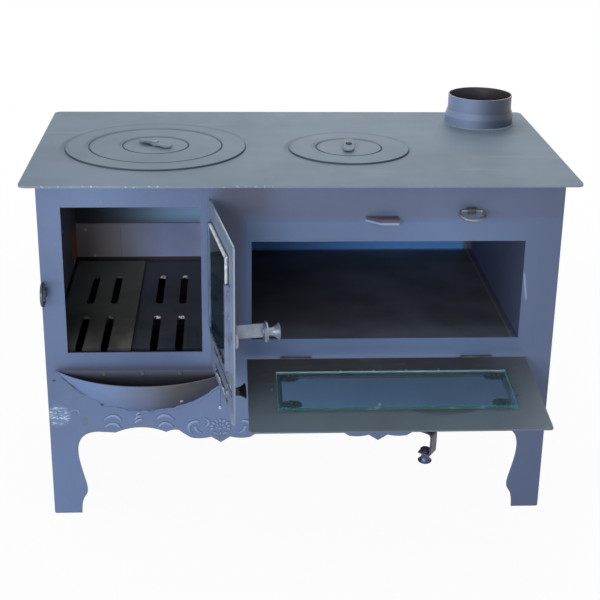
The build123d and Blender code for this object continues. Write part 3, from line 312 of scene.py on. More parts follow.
def back_marks(f, color, rough):
    """Inside face of the back panel: its blue paint made very light on the right as painted light,
    painted shade over the firebox's left half, and darker low down.
    """
    inner = 1 - f.y.rise(FRONT + 0.5184, FRONT + 0.5194)
    # Painted light on the right, painted shade on the left; darker low down.
    painted_light_and_shade = f.blend(f.x.rise(-0.44, -0.17), rgb(48, 60, 80), rgb(160, 206, 255))
    painted_light_and_shade = f.blend(f.z.rise(0.40, 0.44), rgb(64, 62, 70), painted_light_and_shade)
    color = f.blend(inner * (1 - f.x.rise(-0.15, -0.14)), color, painted_light_and_shade)
    return color, rough


def relief_marks(f, color, rough):
    """Pressed ornament: a painted highlight on its crests, painted shade along its foot."""
    # Painted highlight on the raised parts, painted shade at their foot.
    crest_highlight = (FRONT - f.y).rise(0.0003, 0.0015)
    color = f.blend(crest_highlight, rgb(66, 76, 100), rgb(132, 152, 188))
    return color, rough


def joint_soot_and_shade(f, color):
    """Soot and painted shadow in the joints of the burners: a dark line in front, a soft band of
    painted shade behind.
    """
    for x, depth, radii in BURNERS:
        across, along, away = f.polar(x, FRONT + depth)
        for radius in radii:
            behind = (along * (1 / radius) + across * (-0.3 / radius)).rise(-0.2, 0.6)
            # Soot and painted shadow in the gap: a dark line in front.
            line = away.inside(radius - 0.0014, radius + 0.0014, 0.0008)
            color = f.blend(line * (1 - behind) * 0.8, color, rgb(48, 62, 74))
            # Painted shade: a soft dark band behind each joint.
            band = away.inside(radius - 0.005, radius + 0.009, 0.004) * behind
            color = f.blend(band * 0.42, color, rgb(64, 80, 94))
    return color


def ring_marks(f, color, rough):
    """Soot and painted shade in the joints, and a painted shadow under the raised end of the left
    lid's tab.
    """
    color = joint_soot_and_shade(f, color)
    # Painted shadow under the raised end of the left lid's tab.
    tab_shadow = 1 - f.oval((-0.2885, FRONT + 0.240), (0.014, 0.013), "xy").rise(0.3, 1.1)
    return f.blend(tab_shadow * 0.5, color, rgb(50, 62, 72)), rough


def cooktop_marks(f, color, rough):
    """Chips along the front edge, rubbed streaks, soot and painted shade in the joints and at the
    sleeve's foot.
    """
    edge = 1 - (f.y - (FRONT - 0.025)).rise(0.0006, 0.0018)
    chips = f.noise(210.0, 3.0).rise(0.6, 0.66)
    left = 1 - f.x.rise(-0.2, -0.02)
    color = f.blend(edge * chips * (left * 0.7 + 0.15), color, rgb(206, 216, 226))
    rubs = f.noise(11.0, 5.0, (0.25, 3.0, 1.0), 0.6).rise(0.62, 0.7)
    color = f.blend(rubs * 0.16, color, rgb(150, 168, 180))
    spots = f.noise(120.0, 1.0).rise(0.79, 0.82)
    color = f.blend(spots * 0.5, color, rgb(84, 98, 108))
    # Soot and painted shade round the foot of the flue sleeve.
    low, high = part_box("flue_sleeve")
    middle = ((low.x + high.x) / 2 + 0.012, low.y + 0.03)
    foot = 1 - f.oval(middle, (0.105, 0.085), "xy").rise(0.3, 1.1)
    color = f.blend(foot * 0.45, color, rgb(92, 106, 116))
    return joint_soot_and_shade(f, color), rough - rubs * 0.08


def collar_marks(f, color, rough):
    """Flue collar and sleeve: tar inside, painted shade on the right side, a little darker at the
    foot.
    """
    low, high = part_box("flue_collar")
    radius = (high.x - low.x) / 2
    across, along, away = f.polar((low.x + high.x) / 2, (low.y + high.y) / 2)
    bore = 1 - away.rise(radius - 0.0012, radius - 0.0006)
    # Painted shade, darkest on the collar's right side.
    shade = (across - along * 0.3).rise(-0.03, 0.062)
    color = f.blend(shade * 0.9, color, rgb(30, 36, 46))
    skirt = 1 - f.z.rise(COOKTOP + 0.012, COOKTOP + 0.03)
    color = f.blend(skirt * 0.1, color, rgb(84, 94, 116))
    color = f.blend(bore * 0.9, color, rgb(70, 62, 62))
    return color, rough


def fire_door_marks(f, color, rough):
    """Firebox door: painted glints by the air slide's knob, a bare free edge, duller below."""
    # Painted glints: white flecks round the air slide's knob.
    near = 1 - f.oval((FRONT - 0.2367, 0.362), (0.012, 0.026), "yz").rise(0.5, 1.1)
    color = f.blend(near * f.noise(260.0, 3.0).rise(0.5, 0.56), color, rgb(240, 244, 250))
    edge = 1 - f.y.rise(FRONT - 0.2728, FRONT - 0.2718)
    color = f.blend(edge * 0.5, color, rgb(158, 170, 188))
    low = 1 - f.z.rise(0.36, 0.50)
    color = f.blend(low * 0.55, color, rgb(96, 112, 140))
    return color, rough


def slide_marks(f, color, rough):
    """The air slide: a dark line along its row of slots, painted glints on its lower edge."""
    row = f.y.inside(FRONT - 0.198, FRONT - 0.09, 0.002)
    color = f.blend(row * f.z.inside(0.3445, 0.355, 0.0008) * 0.95, color, rgb(14, 22, 36))
    # Painted glints: white flecks along the slide's lower edge.
    edge_glints = row * f.z.inside(0.3395, 0.3438, 0.0006)
    color = f.blend(edge_glints * f.noise(90.0, 3.0).rise(0.4, 0.5), color, rgb(216, 222, 232))
    upper = f.z.inside(0.368, 0.372, 0.0008) * f.noise(60.0, 3.0).rise(0.42, 0.5)
    color = f.blend(upper * 0.8, color, rgb(40, 48, 64))
    return color, rough


def lower_strip_marks(f, color, rough):
    """Strip under the glass: sooty lip, bright flecks on its foot."""
    color = f.blend(f.z.rise(0.402, 0.404) * 0.9, color, rgb(24, 28, 34))
    color = f.blend(f.noise(300.0, 3.0).rise(0.56, 0.62) * 0.85, color, rgb(206, 214, 226))
    return color, rough


def keeper_marks(f, color, rough):
    """The latch keeper: brown-grey above, a painted highlight along its lower lip."""
    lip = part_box("oven_latch_keeper")[0].z
    # Painted highlight along the lower lip, brown-grey above it.
    above = f.z.rise(lip + 0.0035, lip + 0.0045)
    return f.blend(above, rgb(150, 160, 188), rgb(84, 78, 96)), rough


def make_paints():
    """The painted finishes, each with a lighter and a darker tone of its clouds."""
    panel = ((102, 122, 161), (92, 110, 147))
    top = ((136, 152, 167), (126, 143, 158))
    collar = ((134, 150, 186), (120, 135, 168))
    door = ((136, 150, 170), (116, 131, 154))
    slide = ((110, 124, 150), (94, 108, 134))
    strip = ((112, 124, 146), (84, 94, 112))
    return {
        "front": satin_paint("front_panel_paint", *panel, front_marks),
        "catcher": satin_paint("ash_catcher_paint", (104, 120, 158), panel[1], catcher_marks),
        "panel": satin_paint("body_panel_paint", *panel),
        "back": satin_paint("back_panel_paint", *panel, back_marks),
        "relief": satin_paint("relief_paint", *panel, relief_marks),
        "cooktop": satin_paint("cooktop_plate_paint", *top, cooktop_marks, 0.6, 0.12),
        "rings": satin_paint("burner_ring_paint", *top, ring_marks, 0.6, 0.12),
        "collar": satin_paint("collar_paint", *collar, collar_marks, 0.4),
        "door": satin_paint("firebox_door_paint", *door, fire_door_marks, 0.4),
        "slide": satin_paint("air_slide_paint", *slide, slide_marks, 0.4),
        "strip": satin_paint("lower_strip_paint", *strip, lower_strip_marks, 0.4),
        "keeper": satin_paint("keeper_paint", *panel, keeper_marks, 0.4),
    }


def oven_door_paint():
    """Scorched inner face: brown-grey at the hinge, olive-grey towards the free edge."""
    f = Finish("scorched_door_paint")
    reach = (FRONT - f.y).rise(0.0, 0.24)
    color = f.blend(reach, rgb(54, 50, 54), rgb(98, 114, 126))
    color = f.blend(f.noise(7.0, 4.0).rise(0.35, 0.7) * 0.35, color, rgb(76, 80, 76))
    streaks = f.noise(30.0, 5.0, (1.0, 3.0, 1.0)).rise(0.56, 0.72)
    color = f.blend(streaks * 0.2, color, rgb(108, 114, 116))
    color = f.blend(f.x.rise(0.3, 0.45) * 0.5, color, rgb(112, 126, 140))
    scrub = f.noise(16.0, 5.0, (1.0, 0.4, 1.0)).rise(0.55, 0.75) * f.x.rise(0.36, 0.46)
    color = f.blend(scrub * 0.4, color, rgb(128, 136, 138))
    stain = 1 - f.oval((0.240, FRONT - 0.186), (0.058, 0.019), "xy").rise(0.8, 1.1)
    color = f.blend(stain * 0.5, color, rgb(56, 62, 60))
    rough = f.noise(18.0, 4.0) * 0.24 + 0.4
    height = f.noise(260.0, 3.0) + f.noise(40.0, 2.0)
    return f.end(color, rough, 0.0, f.bump(height, 0.0002), Specular_IOR_Level=0.4)


def sooty_steel(name, light, dark, rough=0.62, marks=None):
    """Heat-darkened bare sheet with soot in soft clouds and a little rust."""
    f = Finish(name)
    color = f.cloudy(rgb(*light), rgb(*dark), 8.0, 0.2, 4.0)
    rust = f.noise(14.0, 5.0).rise(0.63, 0.75)
    color = f.blend(rust * 0.3, color, rgb(82, 58, 42))
    if marks:
        color = marks(f, color)
    roughness = f.noise(20.0, 3.0) * 0.2 + (rough - 0.1)
    height = f.noise(180.0, 4.0) + f.noise(30.0, 3.0) * 2.0
    return f.end(color, roughness, 0.0, f.bump(height, 0.0003), Specular_IOR_Level=0.3)


def oven_marks(f, color):
    """Painted shade on the left, the back wall's blue paint made bright as painted light, and a
    right side that keeps more of its blue paint than the floor.
    """
    # Painted shade: darker on the left.
    color = f.blend((1 - f.x.rise(-0.02, 0.2)) * 0.35, color, rgb(76, 74, 74))
    # Painted light: the back wall's blue paint made bright, ending at the right.
    back = f.y.rise(FRONT + 0.493, FRONT + 0.4985)
    color = f.blend(back * (1 - f.x.rise(0.38, 0.395)) * 0.95, color, rgb(98, 162, 236))
    side = f.x.rise(0.398, 0.402)
    color = f.blend(side * 0.8, color, rgb(74, 86, 118))
    seam = f.x.inside(0.3915, 0.3945, 0.0012) * (1 - f.z.rise(0.37, 0.372))
    return f.blend(seam * 0.6, color, rgb(132, 132, 140))


def liner_marks(f, color):
    """Painted shade on the left and on the side liner, a rust run down the side liner, pale ash
    specks.
    """
    # Painted shade: greyer and darker on the left.
    right = (f.x + f.noise(20.0, 4.0) * 0.04).rise(-0.40, -0.24)
    color = f.blend(1 - right, color, rgb(182, 176, 186))
    # Painted shade on the side liner.
    side = 1 - f.x.rise(-0.4653, -0.4647)
    color = f.blend(side * 0.6, color, rgb(58, 60, 62))
    ragged = f.y + f.noise(60.0, 3.0) * 0.02
    run = f.z.inside(0.345, 0.415, 0.02) * ragged.rise(FRONT + 0.43, FRONT + 0.46)
    color = f.blend(run * side, color, rgb(226, 126, 52))
    for x, y, z, size in (
        (-0.4445, 0.512, 0.404, 0.0036),
        (-0.426, 0.512, 0.345, 0.003),
        (-0.4655, 0.462, 0.348, 0.0034),
        (-0.4655, 0.30, 0.47, 0.0026),
    ):
        near = f.oval((x, z), (size, size)) + f.oval((x, FRONT + y), (size, 2 * size), "xy")
        color = f.blend(1 - near.rise(1.2, 2.0), color, rgb(232, 236, 234))
    return f.blend(f.noise(6.0, 3.0).rise(0.4, 0.6) * 0.15, color, rgb(150, 148, 158))


def cast_iron(name, light, dark, ash, glints):
    """Rough cast plate: pits, rust freckles, painted light towards the back, and painted shade on
    faces turned to the front, in the slots.

    ash and glints are the shares of ash swept towards the door and of painted glints on the slot
    ends.
    """
    f = Finish(name)
    color = f.cloudy(rgb(*light), rgb(*dark), 9.0, 0.2, 5.0)
    freckles = f.noise(90.0, 4.0).rise(0.6, 0.72)
    color = f.blend(freckles * 0.35, color, rgb(96, 88, 76))
    # Painted light: lighter towards the back of the plate.
    back = (f.y - FRONT).rise(0.1, 0.42)
    color = f.blend(back * 0.6, color, tint(light, 1.45))
    heap = f.oval((-0.303, FRONT + 0.02), (0.04, 0.075), "xy") + f.noise(16.0, 4.0) * 1.4
    swept = 1 - heap.rise(0.8, 1.9)
    color = f.blend(swept * ash, color, rgb(142, 140, 132))
    # Painted shade on the faces turned to the front, the slots' far walls among them.
    front = (0 - f.facing_back).rise(0.5, 0.8)
    color = f.blend(front * 0.8, color, rgb(28, 28, 30))
    # Painted glints on the slot ends.
    slot_ends = front * f.y.rise(FRONT + 0.03, FRONT + 0.035)
    glint = slot_ends * f.noise(300.0, 2.0).rise(0.42, 0.5)
    color = f.blend(glint * glints, color, rgb(236, 240, 242))
    roughness = f.noise(30.0, 3.0) * 0.2 + 0.6
    height = f.noise(240.0, 4.0) + f.noise(60.0, 3.0)
    return f.end(color, roughness, 0.0, f.bump(height, 0.0006), Specular_IOR_Level=0.3)


def bare_metal(name, light, dark, metal, rough):
    """Worn metal: fine grain with brighter flecks, dulled patches."""
    f = Finish(name)
    color = f.cloudy(rgb(*light), rgb(*dark), 40.0, 0.2, 4.0)
    grain = f.noise(160.0, 3.0)
    color = f.blend(grain.rise(0.55, 0.75) * 0.3, color, tint(light, 1.2))
    roughness = f.noise(60.0, 3.0) * 0.2 + (rough - 0.1)
    return f.end(color, roughness, metal, f.bump(grain, 0.00012))


def stove_glass(name, body, rim, far, edges):
    """Heat-proof glass: clear body, a green rim along the cut edges that glows as painted light,
    and white painted highlights along the far edge and in flecks.

    edges are (axis, low, high) in metres, and the rim is the last 1.5 mm along each; far is the
    (axis, place) of the edge with the strongest painted highlight, and a place beyond the pane
    leaves it out.
    """
    f = Finish(name)
    mask = None
    for axis, low, high in edges:
        part = 1 - getattr(f, axis).inside(low, high, 0.0015)
        mask = part if mask is None else mask.top(part)
    # Painted highlight: white along the far edge and in flecks.
    far_edge = getattr(f, far[0]).rise(far[1] - 0.0015, far[1] - 0.0005)
    painted_highlight = (far_edge * 0.85 + f.noise(38.0, 4.0).rise(0.6, 0.68) * 0.5) * mask
    color = f.blend(mask, rgb(*body), rgb(*rim))
    color = f.blend(painted_highlight, color, rgb(214, 232, 228))
    smear = f.noise(22.0, 4.0, (1.0, 2.2, 1.0)).rise(0.5, 0.8)
    # The rims glow: painted light.
    glow = f.blend(mask, (0, 0, 0, 1), tint(rim, 0.62))
    glow = f.blend(painted_highlight, glow, rgb(150, 170, 168))
    return f.end(color, smear * 0.12 + 0.03, 0.0, None, IOR=1.5, Transmission_Weight=0.95,
                 Emission_Color=glow, Emission_Strength=1.0)


def glass_tape(name, clean, sooty, low, high):
    """White glass-fibre braid, sooty towards its foot."""
    f = Finish(name)
    color = f.cloudy(rgb(*clean), rgb(*sooty), 90.0, 0.2)
    color = f.blend((1 - f.z.rise(low, high)) * 0.85, color, rgb(40, 42, 46))
    color = f.blend(f.noise(160.0, 4.0).rise(0.58, 0.68) * 0.5, color, rgb(96, 102, 110))
    return f.end(color, 0.9, 0.0, f.bump(f.noise(1500.0, 2.0), 0.0002))


def mesh_pad(name, light, dark, loops):
    """Dark knitted wire with worn bright loops."""
    f = Finish(name)
    color = f.cloudy(rgb(*light), rgb(*dark), 160.0, 0.15)
    color = f.blend(f.noise(420.0, 2.0).rise(0.54, 0.62) * 0.7, color, rgb(*loops))
    return f.end(color, 0.6, 0.2, f.bump(f.noise(700.0, 3.0), 0.0006))


# ================================================================ shapes
class Shell:
    """Closed surfaces gathered into one mesh."""

    def __init__(self):
        self.points = []
        self.faces = []
        self.count = 0

    def loft(self, rings, closed=False):
        """Skin over rings, an array (ring, point, 3), with its faces turned outward.

        The ends are fanned to their centres, or the last ring is joined to the first if closed.
        """
        rings = np.asarray(rings, float)
        n, m = rings.shape[:2]
        index = np.arange(n * m).reshape(n, m)
        if closed:
            index = np.vstack([index, index[:1]])
        a, b = index[:-1], index[1:]
        quads = np.stack([a, np.roll(a, -1, 1), np.roll(b, -1, 1), b], -1).reshape(-1, 4)
        points = rings.reshape(-1, 3)
        faces = quads.tolist()
        if not closed:
            points = np.vstack([points, rings[0].mean(0), rings[-1].mean(0)])
            first, last = index[0], index[-1]
            for near, far, centre in (
                (np.roll(first, -1), first, n * m),
                (last, np.roll(last, -1), n * m + 1),
            ):
                faces += np.stack([near, far, np.full(m, centre)], -1).tolist()
        fans = [[f[0], *f[i : i + 2]] for f in faces for i in range(1, len(f) - 1)]
        p = points[np.array(fans)]
        volume = np.einsum("ij,ij->i", p[:, 0], np.cross(p[:, 1], p[:, 2])).sum()
        if volume < 0:
            faces = [face[::-1] for face in faces]
        self.faces += [[i + self.count for i in face] for face in faces]
        self.points.append(points)
        self.count += len(points)

    def piece(self, name, material, body):
        """Makes the gathered surfaces a smooth-shaded object that rides a body."""
        mesh = bpy.data.meshes.new(name)
        mesh.from_pydata(np.vstack(self.points).tolist(), [], self.faces)
        mesh.polygons.foreach_set("use_smooth", [True] * len(mesh.polygons))
        mesh.materials.append(material)
        mesh.update()
        made = bpy.data.objects.new(name, mesh)
        bpy.context.scene.collection.objects.link(made)
        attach(made, body)


def placed(origin, axes, local):
    """Points (..., 3) in mm along three axes from an origin, put in the frame in metres."""
    return origin + np.asarray(local, float) / 1000 @ axes


def on_front(local):
    """Points across, up and out of the front panel, in millimetres, put in the frame."""
    return placed(FRONT_ORIGIN, FRONT_AXES, local)


def curve(points, count):
    """Smooth line through points: Catmull-Rom, evenly divided in its parameter."""
    p = np.asarray(points, float)
    p = np.vstack([2 * p[0] - p[1], p, 2 * p[-1] - p[-2]])
    t = np.linspace(0, len(p) - 3, count)
    i = np.minimum(t.astype(int), len(p) - 4)
    s = (t - i)[:, None]
    a, b, c, d = p[i], p[i + 1], p[i + 2], p[i + 3]
    squared = 2 * a - 5 * b + 4 * c - d
    cubed = 3 * b - a - 3 * c + d
    return 0.5 * (2 * b + (c - a) * s + squared * s**2 + cubed * s**3)


def stroke(shell, line, widths, rise, count=26, around=12):
    """Raised stroke on the front panel: a half-round ridge along a smooth line.

    line is (x, z) in mm, widths the half-widths at its points, eased to nothing at both ends; the
    section is w cos a across and rise sin a up, sunk a little in the panel, and lower where the
    stroke is narrow.
    """
    path = curve(np.column_stack([np.asarray(line, float), widths]), count)
    xy, w = path[:, :2], path[:, 2]
    u = np.linspace(0, 1, count)
    w = w * np.sqrt(np.clip(1 - np.abs(2 * u - 1) ** 9, 0.0, 1)) + 0.02
    along = np.gradient(xy, axis=0)
    along /= np.linalg.norm(along, axis=1)[:, None]
    across = np.column_stack([-along[:, 1], along[:, 0]])
    a = np.linspace(0, 2 * np.pi, around, endpoint=False)
    side = w[:, None] * np.cos(a)
    up = np.where(np.sin(a) > 0, rise, SUNK) * np.sin(a) * np.minimum(1, w / 1.2)[:, None]
    local = np.concatenate([xy[:, None] + side[..., None] * across[:, None], up[..., None]], -1)
    shell.loft(on_front(local))


def dome(shell, centre, radii, turn, rise):
    """Low boss on the front panel: an ellipse whose height is rise times the root of 1 - 0.97 r².

    r goes from 0 at its middle to 1 at its edge.
    """
    r = np.sin(np.linspace(0.06, np.pi / 2, 6))
    a = np.linspace(0, 2 * np.pi, 16, endpoint=False)
    x = r[:, None] * radii[0] * np.cos(a)
    y = r[:, None] * radii[1] * np.sin(a)
    c, s = np.cos(np.radians(turn)), np.sin(np.radians(turn))
    z = np.broadcast_to((rise * np.sqrt(1 - 0.97 * r**2))[:, None], x.shape)
    top = np.stack([centre[0] + c * x - s * y, centre[1] + s * x + c * y, z], -1)
    foot = top[-1:].copy()
    foot[..., 2] = -SUNK
    shell.loft(on_front(np.concatenate([top, foot])))


def turned(shell, profile, centre, axis):
    """Surface of revolution: a profile of (radius, height) in mm about an axis through centre."""
    axis = np.asarray(axis, float) / np.linalg.norm(axis)
    side = np.cross(axis, [0.3, 0.5, 0.8])
    side /= np.linalg.norm(side)
    other = np.cross(axis, side)
    a = np.linspace(0, 2 * np.pi, 24, endpoint=False)
    r, h = np.asarray(profile, float).T / 1000
    ring = np.cos(a)[:, None] * side + np.sin(a)[:, None] * other
    shell.loft(np.asarray(centre) + r[:, None, None] * ring + h[:, None, None] * axis)


# ---------------------------------------------------------------- relief on the apron
# The middles' heights and the rise of a stroke, in millimetres.
LEAF_Z = 201.0
ROSE_Z = 181.0
STROKE_RISE = 2.1


def leaf_group(shell, x):
    """A leaf of three blades between two pairs of nested crescents."""
    z = LEAF_Z
    high = ((33.0, -3.5), (37.5, 2.0), (43.5, 5.4), (50.0, 6.0), (58.0, 3.2), (67.5, -5.0))
    low = ((34.0, -21.0), (39.0, -14.8), (45.0, -10.8), (51.0, -10.2), (58.0, -12.8), (66.0, -19.0))
    for side in (-1, 1):
        for line in (high, low):
            points = [(x + side * a, z + b) for a, b in line]
            stroke(shell, points, [1.4, 2.8, 3.3, 3.0, 2.2, 1.0], STROKE_RISE)
    for start, end, width in (
        ((-9.0, -9.5), (7.0, -1.0), 2.8),
        ((-7.5, -2.0), (5.5, 6.5), 2.7),
        ((-4.5, 5.0), (3.0, 13.5), 2.3),
    ):
        middle = ((start[0] + end[0]) / 2 - 1.0, (start[1] + end[1]) / 2 + 1.6)
        points = [(x + a, z + b) for a, b in (start, middle, end)]
        stroke(shell, points, [width * 0.7, width, width * 0.8], STROKE_RISE)


def rose_group(shell, x):
    """A rosette over the tip of the apron, between two scrolls and two crescents."""
    z = ROSE_Z
    scroll = ((39.5, 12.0), (46.5, 12.6), (54.5, 9.5), (59.5, 2.5), (58.5, -6.5), (52.0, -14.0))
    curl = ((48.0, 3.5), (46.5, -2.5), (42.0, -8.5), (33.5, -11.5))
    moon = ((30.5, 19.5), (24.5, 16.5), (21.8, 11.0), (24.0, 5.0), (30.0, 1.5))
    for side in (-1, 1):
        for line, widths in (
            (scroll, [2.6, 3.2, 3.4, 3.0, 2.0, 1.0]),
            (curl, [2.2, 2.6, 2.0, 1.0]),
            (moon, [0.9, 1.9, 2.5, 1.9, 0.9]),
        ):
            stroke(shell, [(x + side * a, z + b) for a, b in line], widths, STROKE_RISE)
    for turn in np.linspace(-14, 194, 9):
        a = np.radians(turn)
        dome(shell, (x + 16.0 * np.cos(a), z + 14.0 * np.sin(a)), (4.4, 2.5), turn, 2.0)
    for turn in (10, 50, 90, 130, 170):
        a = np.radians(turn)
        dome(shell, (x + 8.2 * np.cos(a), z - 1 + 7.6 * np.sin(a)), (3.4, 2.0), turn, 1.8)
    dome(shell, (x, z - 2.5), (3.0, 2.6), 0, 1.9)
    for side in (-1, 1):
        for line, widths, rise in (
            (((14, -10), (8, -12.5), (3, -17)), [1.4, 2.2, 1.2], 1.3),
            (((9.5, -18), (5, -20), (1.5, -24)), [0.9, 1.5, 0.8], 1.1),
        ):
            stroke(shell, [(x + side * a, z + b) for a, b in line], widths, rise)
    dome(shell, (x, z - 12.5), (2.0, 4.2), 0, 1.4)


def make_relief(paint):
    """The pressed ornament: three leaves and two rosettes in turn along the apron."""
    shell = Shell()
    for x in (-303.0, 0.0, 303.0):
        leaf_group(shell, x)
    for x in (-150.5, 150.5):
        rose_group(shell, x)
    shell.piece("apron_relief", paint, "stove")


# ---------------------------------------------------------------- small round fittings
def rivet_profile(radius, height):
    """Domed head: a quarter of an ellipse over a rim that is sunk a little in its sheet."""
    a = np.linspace(np.pi / 2, 0.12, 7)
    head = np.column_stack([radius * np.cos(a), height * np.sin(a) * 0.9 + 0.1])
    return np.vstack([head, [[radius, -SUNK]]])


def catcher_out(x, z):
    """How far in mm the catcher's sheet stands out from the panel at (x, z) in mm.

    Its rim is an arc of a circle through the two ends and the foremost point; each point of it
    runs back to the panel at a slope of the run down to the depth in.
    """
    radius = (CATCHER_HALF_WIDTH**2 + CATCHER_DEPTH**2) / (2 * CATCHER_DEPTH)
    reach = np.sqrt(np.clip(radius**2 - (np.asarray(x, float) - CATCHER_X) ** 2, 0, None))
    rim = reach - (radius - CATCHER_DEPTH)
    return rim - (CATCHER_RIM_Z - np.asarray(z, float)) * CATCHER_DEPTH / CATCHER_RUN


def make_panel_rivets(bright, sooty):
    """Two rivets on the apron, one on the catcher's sheet, and a dark one below the catcher."""
    outward = (0, -1, 0)
    off_catcher = (0.284, -0.711, -0.644)
    shell = Shell()
    for x in (-150.4, 150.4):
        turned(shell, rivet_profile(3.6, 1.5), on_front((x, 221.5, 0)), outward)
    place = on_front((-222, 242, catcher_out(-222, 242)))
    turned(shell, rivet_profile(3.8, 1.6), place, off_catcher)
    shell.piece("panel_rivets", bright, "stove")
    shell = Shell()
    turned(shell, rivet_profile(3.8, 1.8), on_front((-370, 231.5, 0.4)), outward)
    shell.piece("catcher_lower_rivet", sooty, "stove")


def make_catcher_weld(paint):
    """Uneven bead along the catcher's foot: a ridge on the line where its sheet meets the panel.

    The line wanders by a sum of three sines, and its width swells by a fourth.
    """
    x = np.linspace(-444, -130, 64)
    drop = catcher_out(x, CATCHER_RIM_Z) * CATCHER_RUN / CATCHER_DEPTH
    wander = 1.5 * np.sin(x / 7.1) + 1.2 * np.sin(x / 3.3 + 1) + 2.2 * np.sin(x / 19 + 2)
    z = CATCHER_RIM_Z - drop - 2.0 + wander
    widths = 2.8 + 1.1 * np.sin(x / 5.3)
    shell = Shell()
    stroke(shell, np.column_stack([x, z]), widths, 1.7, count=240, around=10)
    shell.piece("catcher_weld", paint, "stove")


def make_weld_bead(paint):
    """Rippled bead round the foot of the flue sleeve: a small ring whose section swells along it.

    a goes round the sleeve and b round the section; the section's half-width is 2.4 mm times
    1 plus two sines of a, and its height is 0.9 of its width.
    """
    low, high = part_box("flue_sleeve")
    centre = (low + high) / 2
    radius = (high.x - low.x) / 2
    a = np.linspace(0, 2 * np.pi, 240, endpoint=False)
    b = np.linspace(0, 2 * np.pi, 10, endpoint=False)
    swell = 0.0024 * (1 + 0.16 * np.sin(46 * a) + 0.08 * np.sin(17 * a + 1))
    r = radius + swell[:, None] * np.cos(b)
    x = centre.x + r * np.cos(a)[:, None]
    y = centre.y + r * np.sin(a)[:, None]
    z = COOKTOP + swell[:, None] * np.sin(b) * 0.9
    rings = np.stack([x, y, z], -1)
    shell = Shell()
    shell.loft(rings, closed=True)
    shell.piece("sleeve_weld", paint, "stove")


# ---------------------------------------------------------------- tape round the firebox glass
def make_glass_tape(material):
    """Braided tape folded over the firebox glass's upper edge and its free corner.

    A thin U with a lip on each face of the glass is carried along the glass's edge: along the
    top, round a small corner and down. The room side's lip frays by a sum of three sines, and the
    crown of the U swells by a fourth. All lengths are in mm.
    """
    near, far, top, foot = 52.0, 228.0, 604.0, 557.5
    room_side, inner_side = -10.35, -5.95
    wall = 0.41
    corner = 1.2
    a = np.radians(np.linspace(90, 0, 5))
    turn = np.column_stack([np.cos(a), np.sin(a)])
    across = np.column_stack([np.linspace(near, far - corner, 90), np.full(90, top)])[:-1]
    down = np.column_stack([np.full(28, far), np.linspace(top - corner, foot, 28)])[1:]
    bend = np.array([far - corner, top - corner]) + corner * turn
    path = np.vstack([across, bend, down])
    upward, sideways = [0.0, 1.0], [1.0, 0.0]
    outward = np.vstack([np.tile(upward, (len(across), 1)), turn,
                         np.tile(sideways, (len(down), 1))])
    run = np.r_[0, np.cumsum(np.linalg.norm(np.diff(path, axis=0), axis=1))]
    fray = 0.5 * np.sin(run * 1.9) + 0.4 * np.sin(run * 0.73 + 1) + 0.3 * np.sin(run * 4.1)
    lip = 4.2 + fray
    crown = 0.55 + 0.12 * np.sin(run * 2.6)
    back = np.full(len(run), 3.0)
    inside = np.full(len(run), 0.03)
    # Section: out over the edge along the U's outer face, and back along its inner face.
    reach = np.stack([-lip, crown, crown, -back, -back, inside, inside, -lip], 1)
    height = np.repeat([room_side, inner_side, inner_side - wall, room_side + wall], 2)
    flat = path[:, None] + reach[..., None] * outward[:, None]
    rings = np.concatenate([flat, np.broadcast_to(height[:, None], reach.shape + (1,))], -1)
    shell = Shell()
    shell.loft(placed(DOOR_ORIGIN, DOOR_AXES, rings))
    shell.piece("glass_edge_tape", material, "firebox_door")


# ================================================================ camera, lamps, world and floor
def make_camera(scene):
    """The photograph's camera, solved from the stove's straight edges."""
    eye = (-0.131344, FRONT - 2.215113, 1.308549)
    pitch, yaw, roll = 0.3738881, 0.0603071, 0.0155831
    ahead = Vector((np.sin(yaw) * np.cos(pitch), np.cos(yaw) * np.cos(pitch), -np.sin(pitch)))
    right = Vector((np.cos(yaw), -np.sin(yaw), 0))
    up = right.cross(ahead)
    level_right = np.cos(roll) * right + np.sin(roll) * up
    level_up = np.cos(roll) * up - np.sin(roll) * right
    camera = bpy.data.objects.new("camera", bpy.data.cameras.new("camera"))
    camera.data.lens = 78.35
    camera.data.sensor_width = 36.0
    camera.data.shift_x = -0.00522
    camera.data.clip_end = 100.0
    turn = Matrix((level_right, level_up, -ahead)).transposed().to_4x4()
    camera.matrix_world = Matrix.Translation(eye) @ turn
    scene.collection.objects.link(camera)
    scene.camera = camera


def make_lamps(scene):
    """Large soft lamps: name, place, the point it is aimed at, size and power."""
    for name, place, aim, size, power in (
        ("key", (-2.7, -2.7, 1.0), (0, 0.1, 0.4), (1.6, 1.2), 30),
        ("front", (-0.8, -2.9, 1.15), (-0.1, 0.3, 0.4), (0.9, 0.6), 28),
        ("sky", (-0.4, 0.1, 3.4), (0, 0.1, 0.3), (3.0, 2.4), 14),
        ("back", (0.6, 3.0, 1.8), (0, 0.2, 0.4), (2.4, 1.6), 24),
    ):
        light = bpy.data.lights.new(name, "AREA")
        light.shape = "RECTANGLE"
        light.size, light.size_y = size
        light.energy = power
        made = bpy.data.objects.new(name, light)
        made.location = place
        made.rotation_euler = (Vector(aim) - Vector(place)).to_track_quat("-Z", "Y").to_euler()
        scene.collection.objects.link(made)


def seen(f):
    """1 for the rays by which a surface is seen: straight, in a mirror or through glass."""
    rays = ("Is Camera Ray", "Is Glossy Ray", "Is Transmission Ray")
    straight, mirrored, through = (f.node("LightPath", out=name) for name in rays)
    return straight.top(mirrored).top(through)


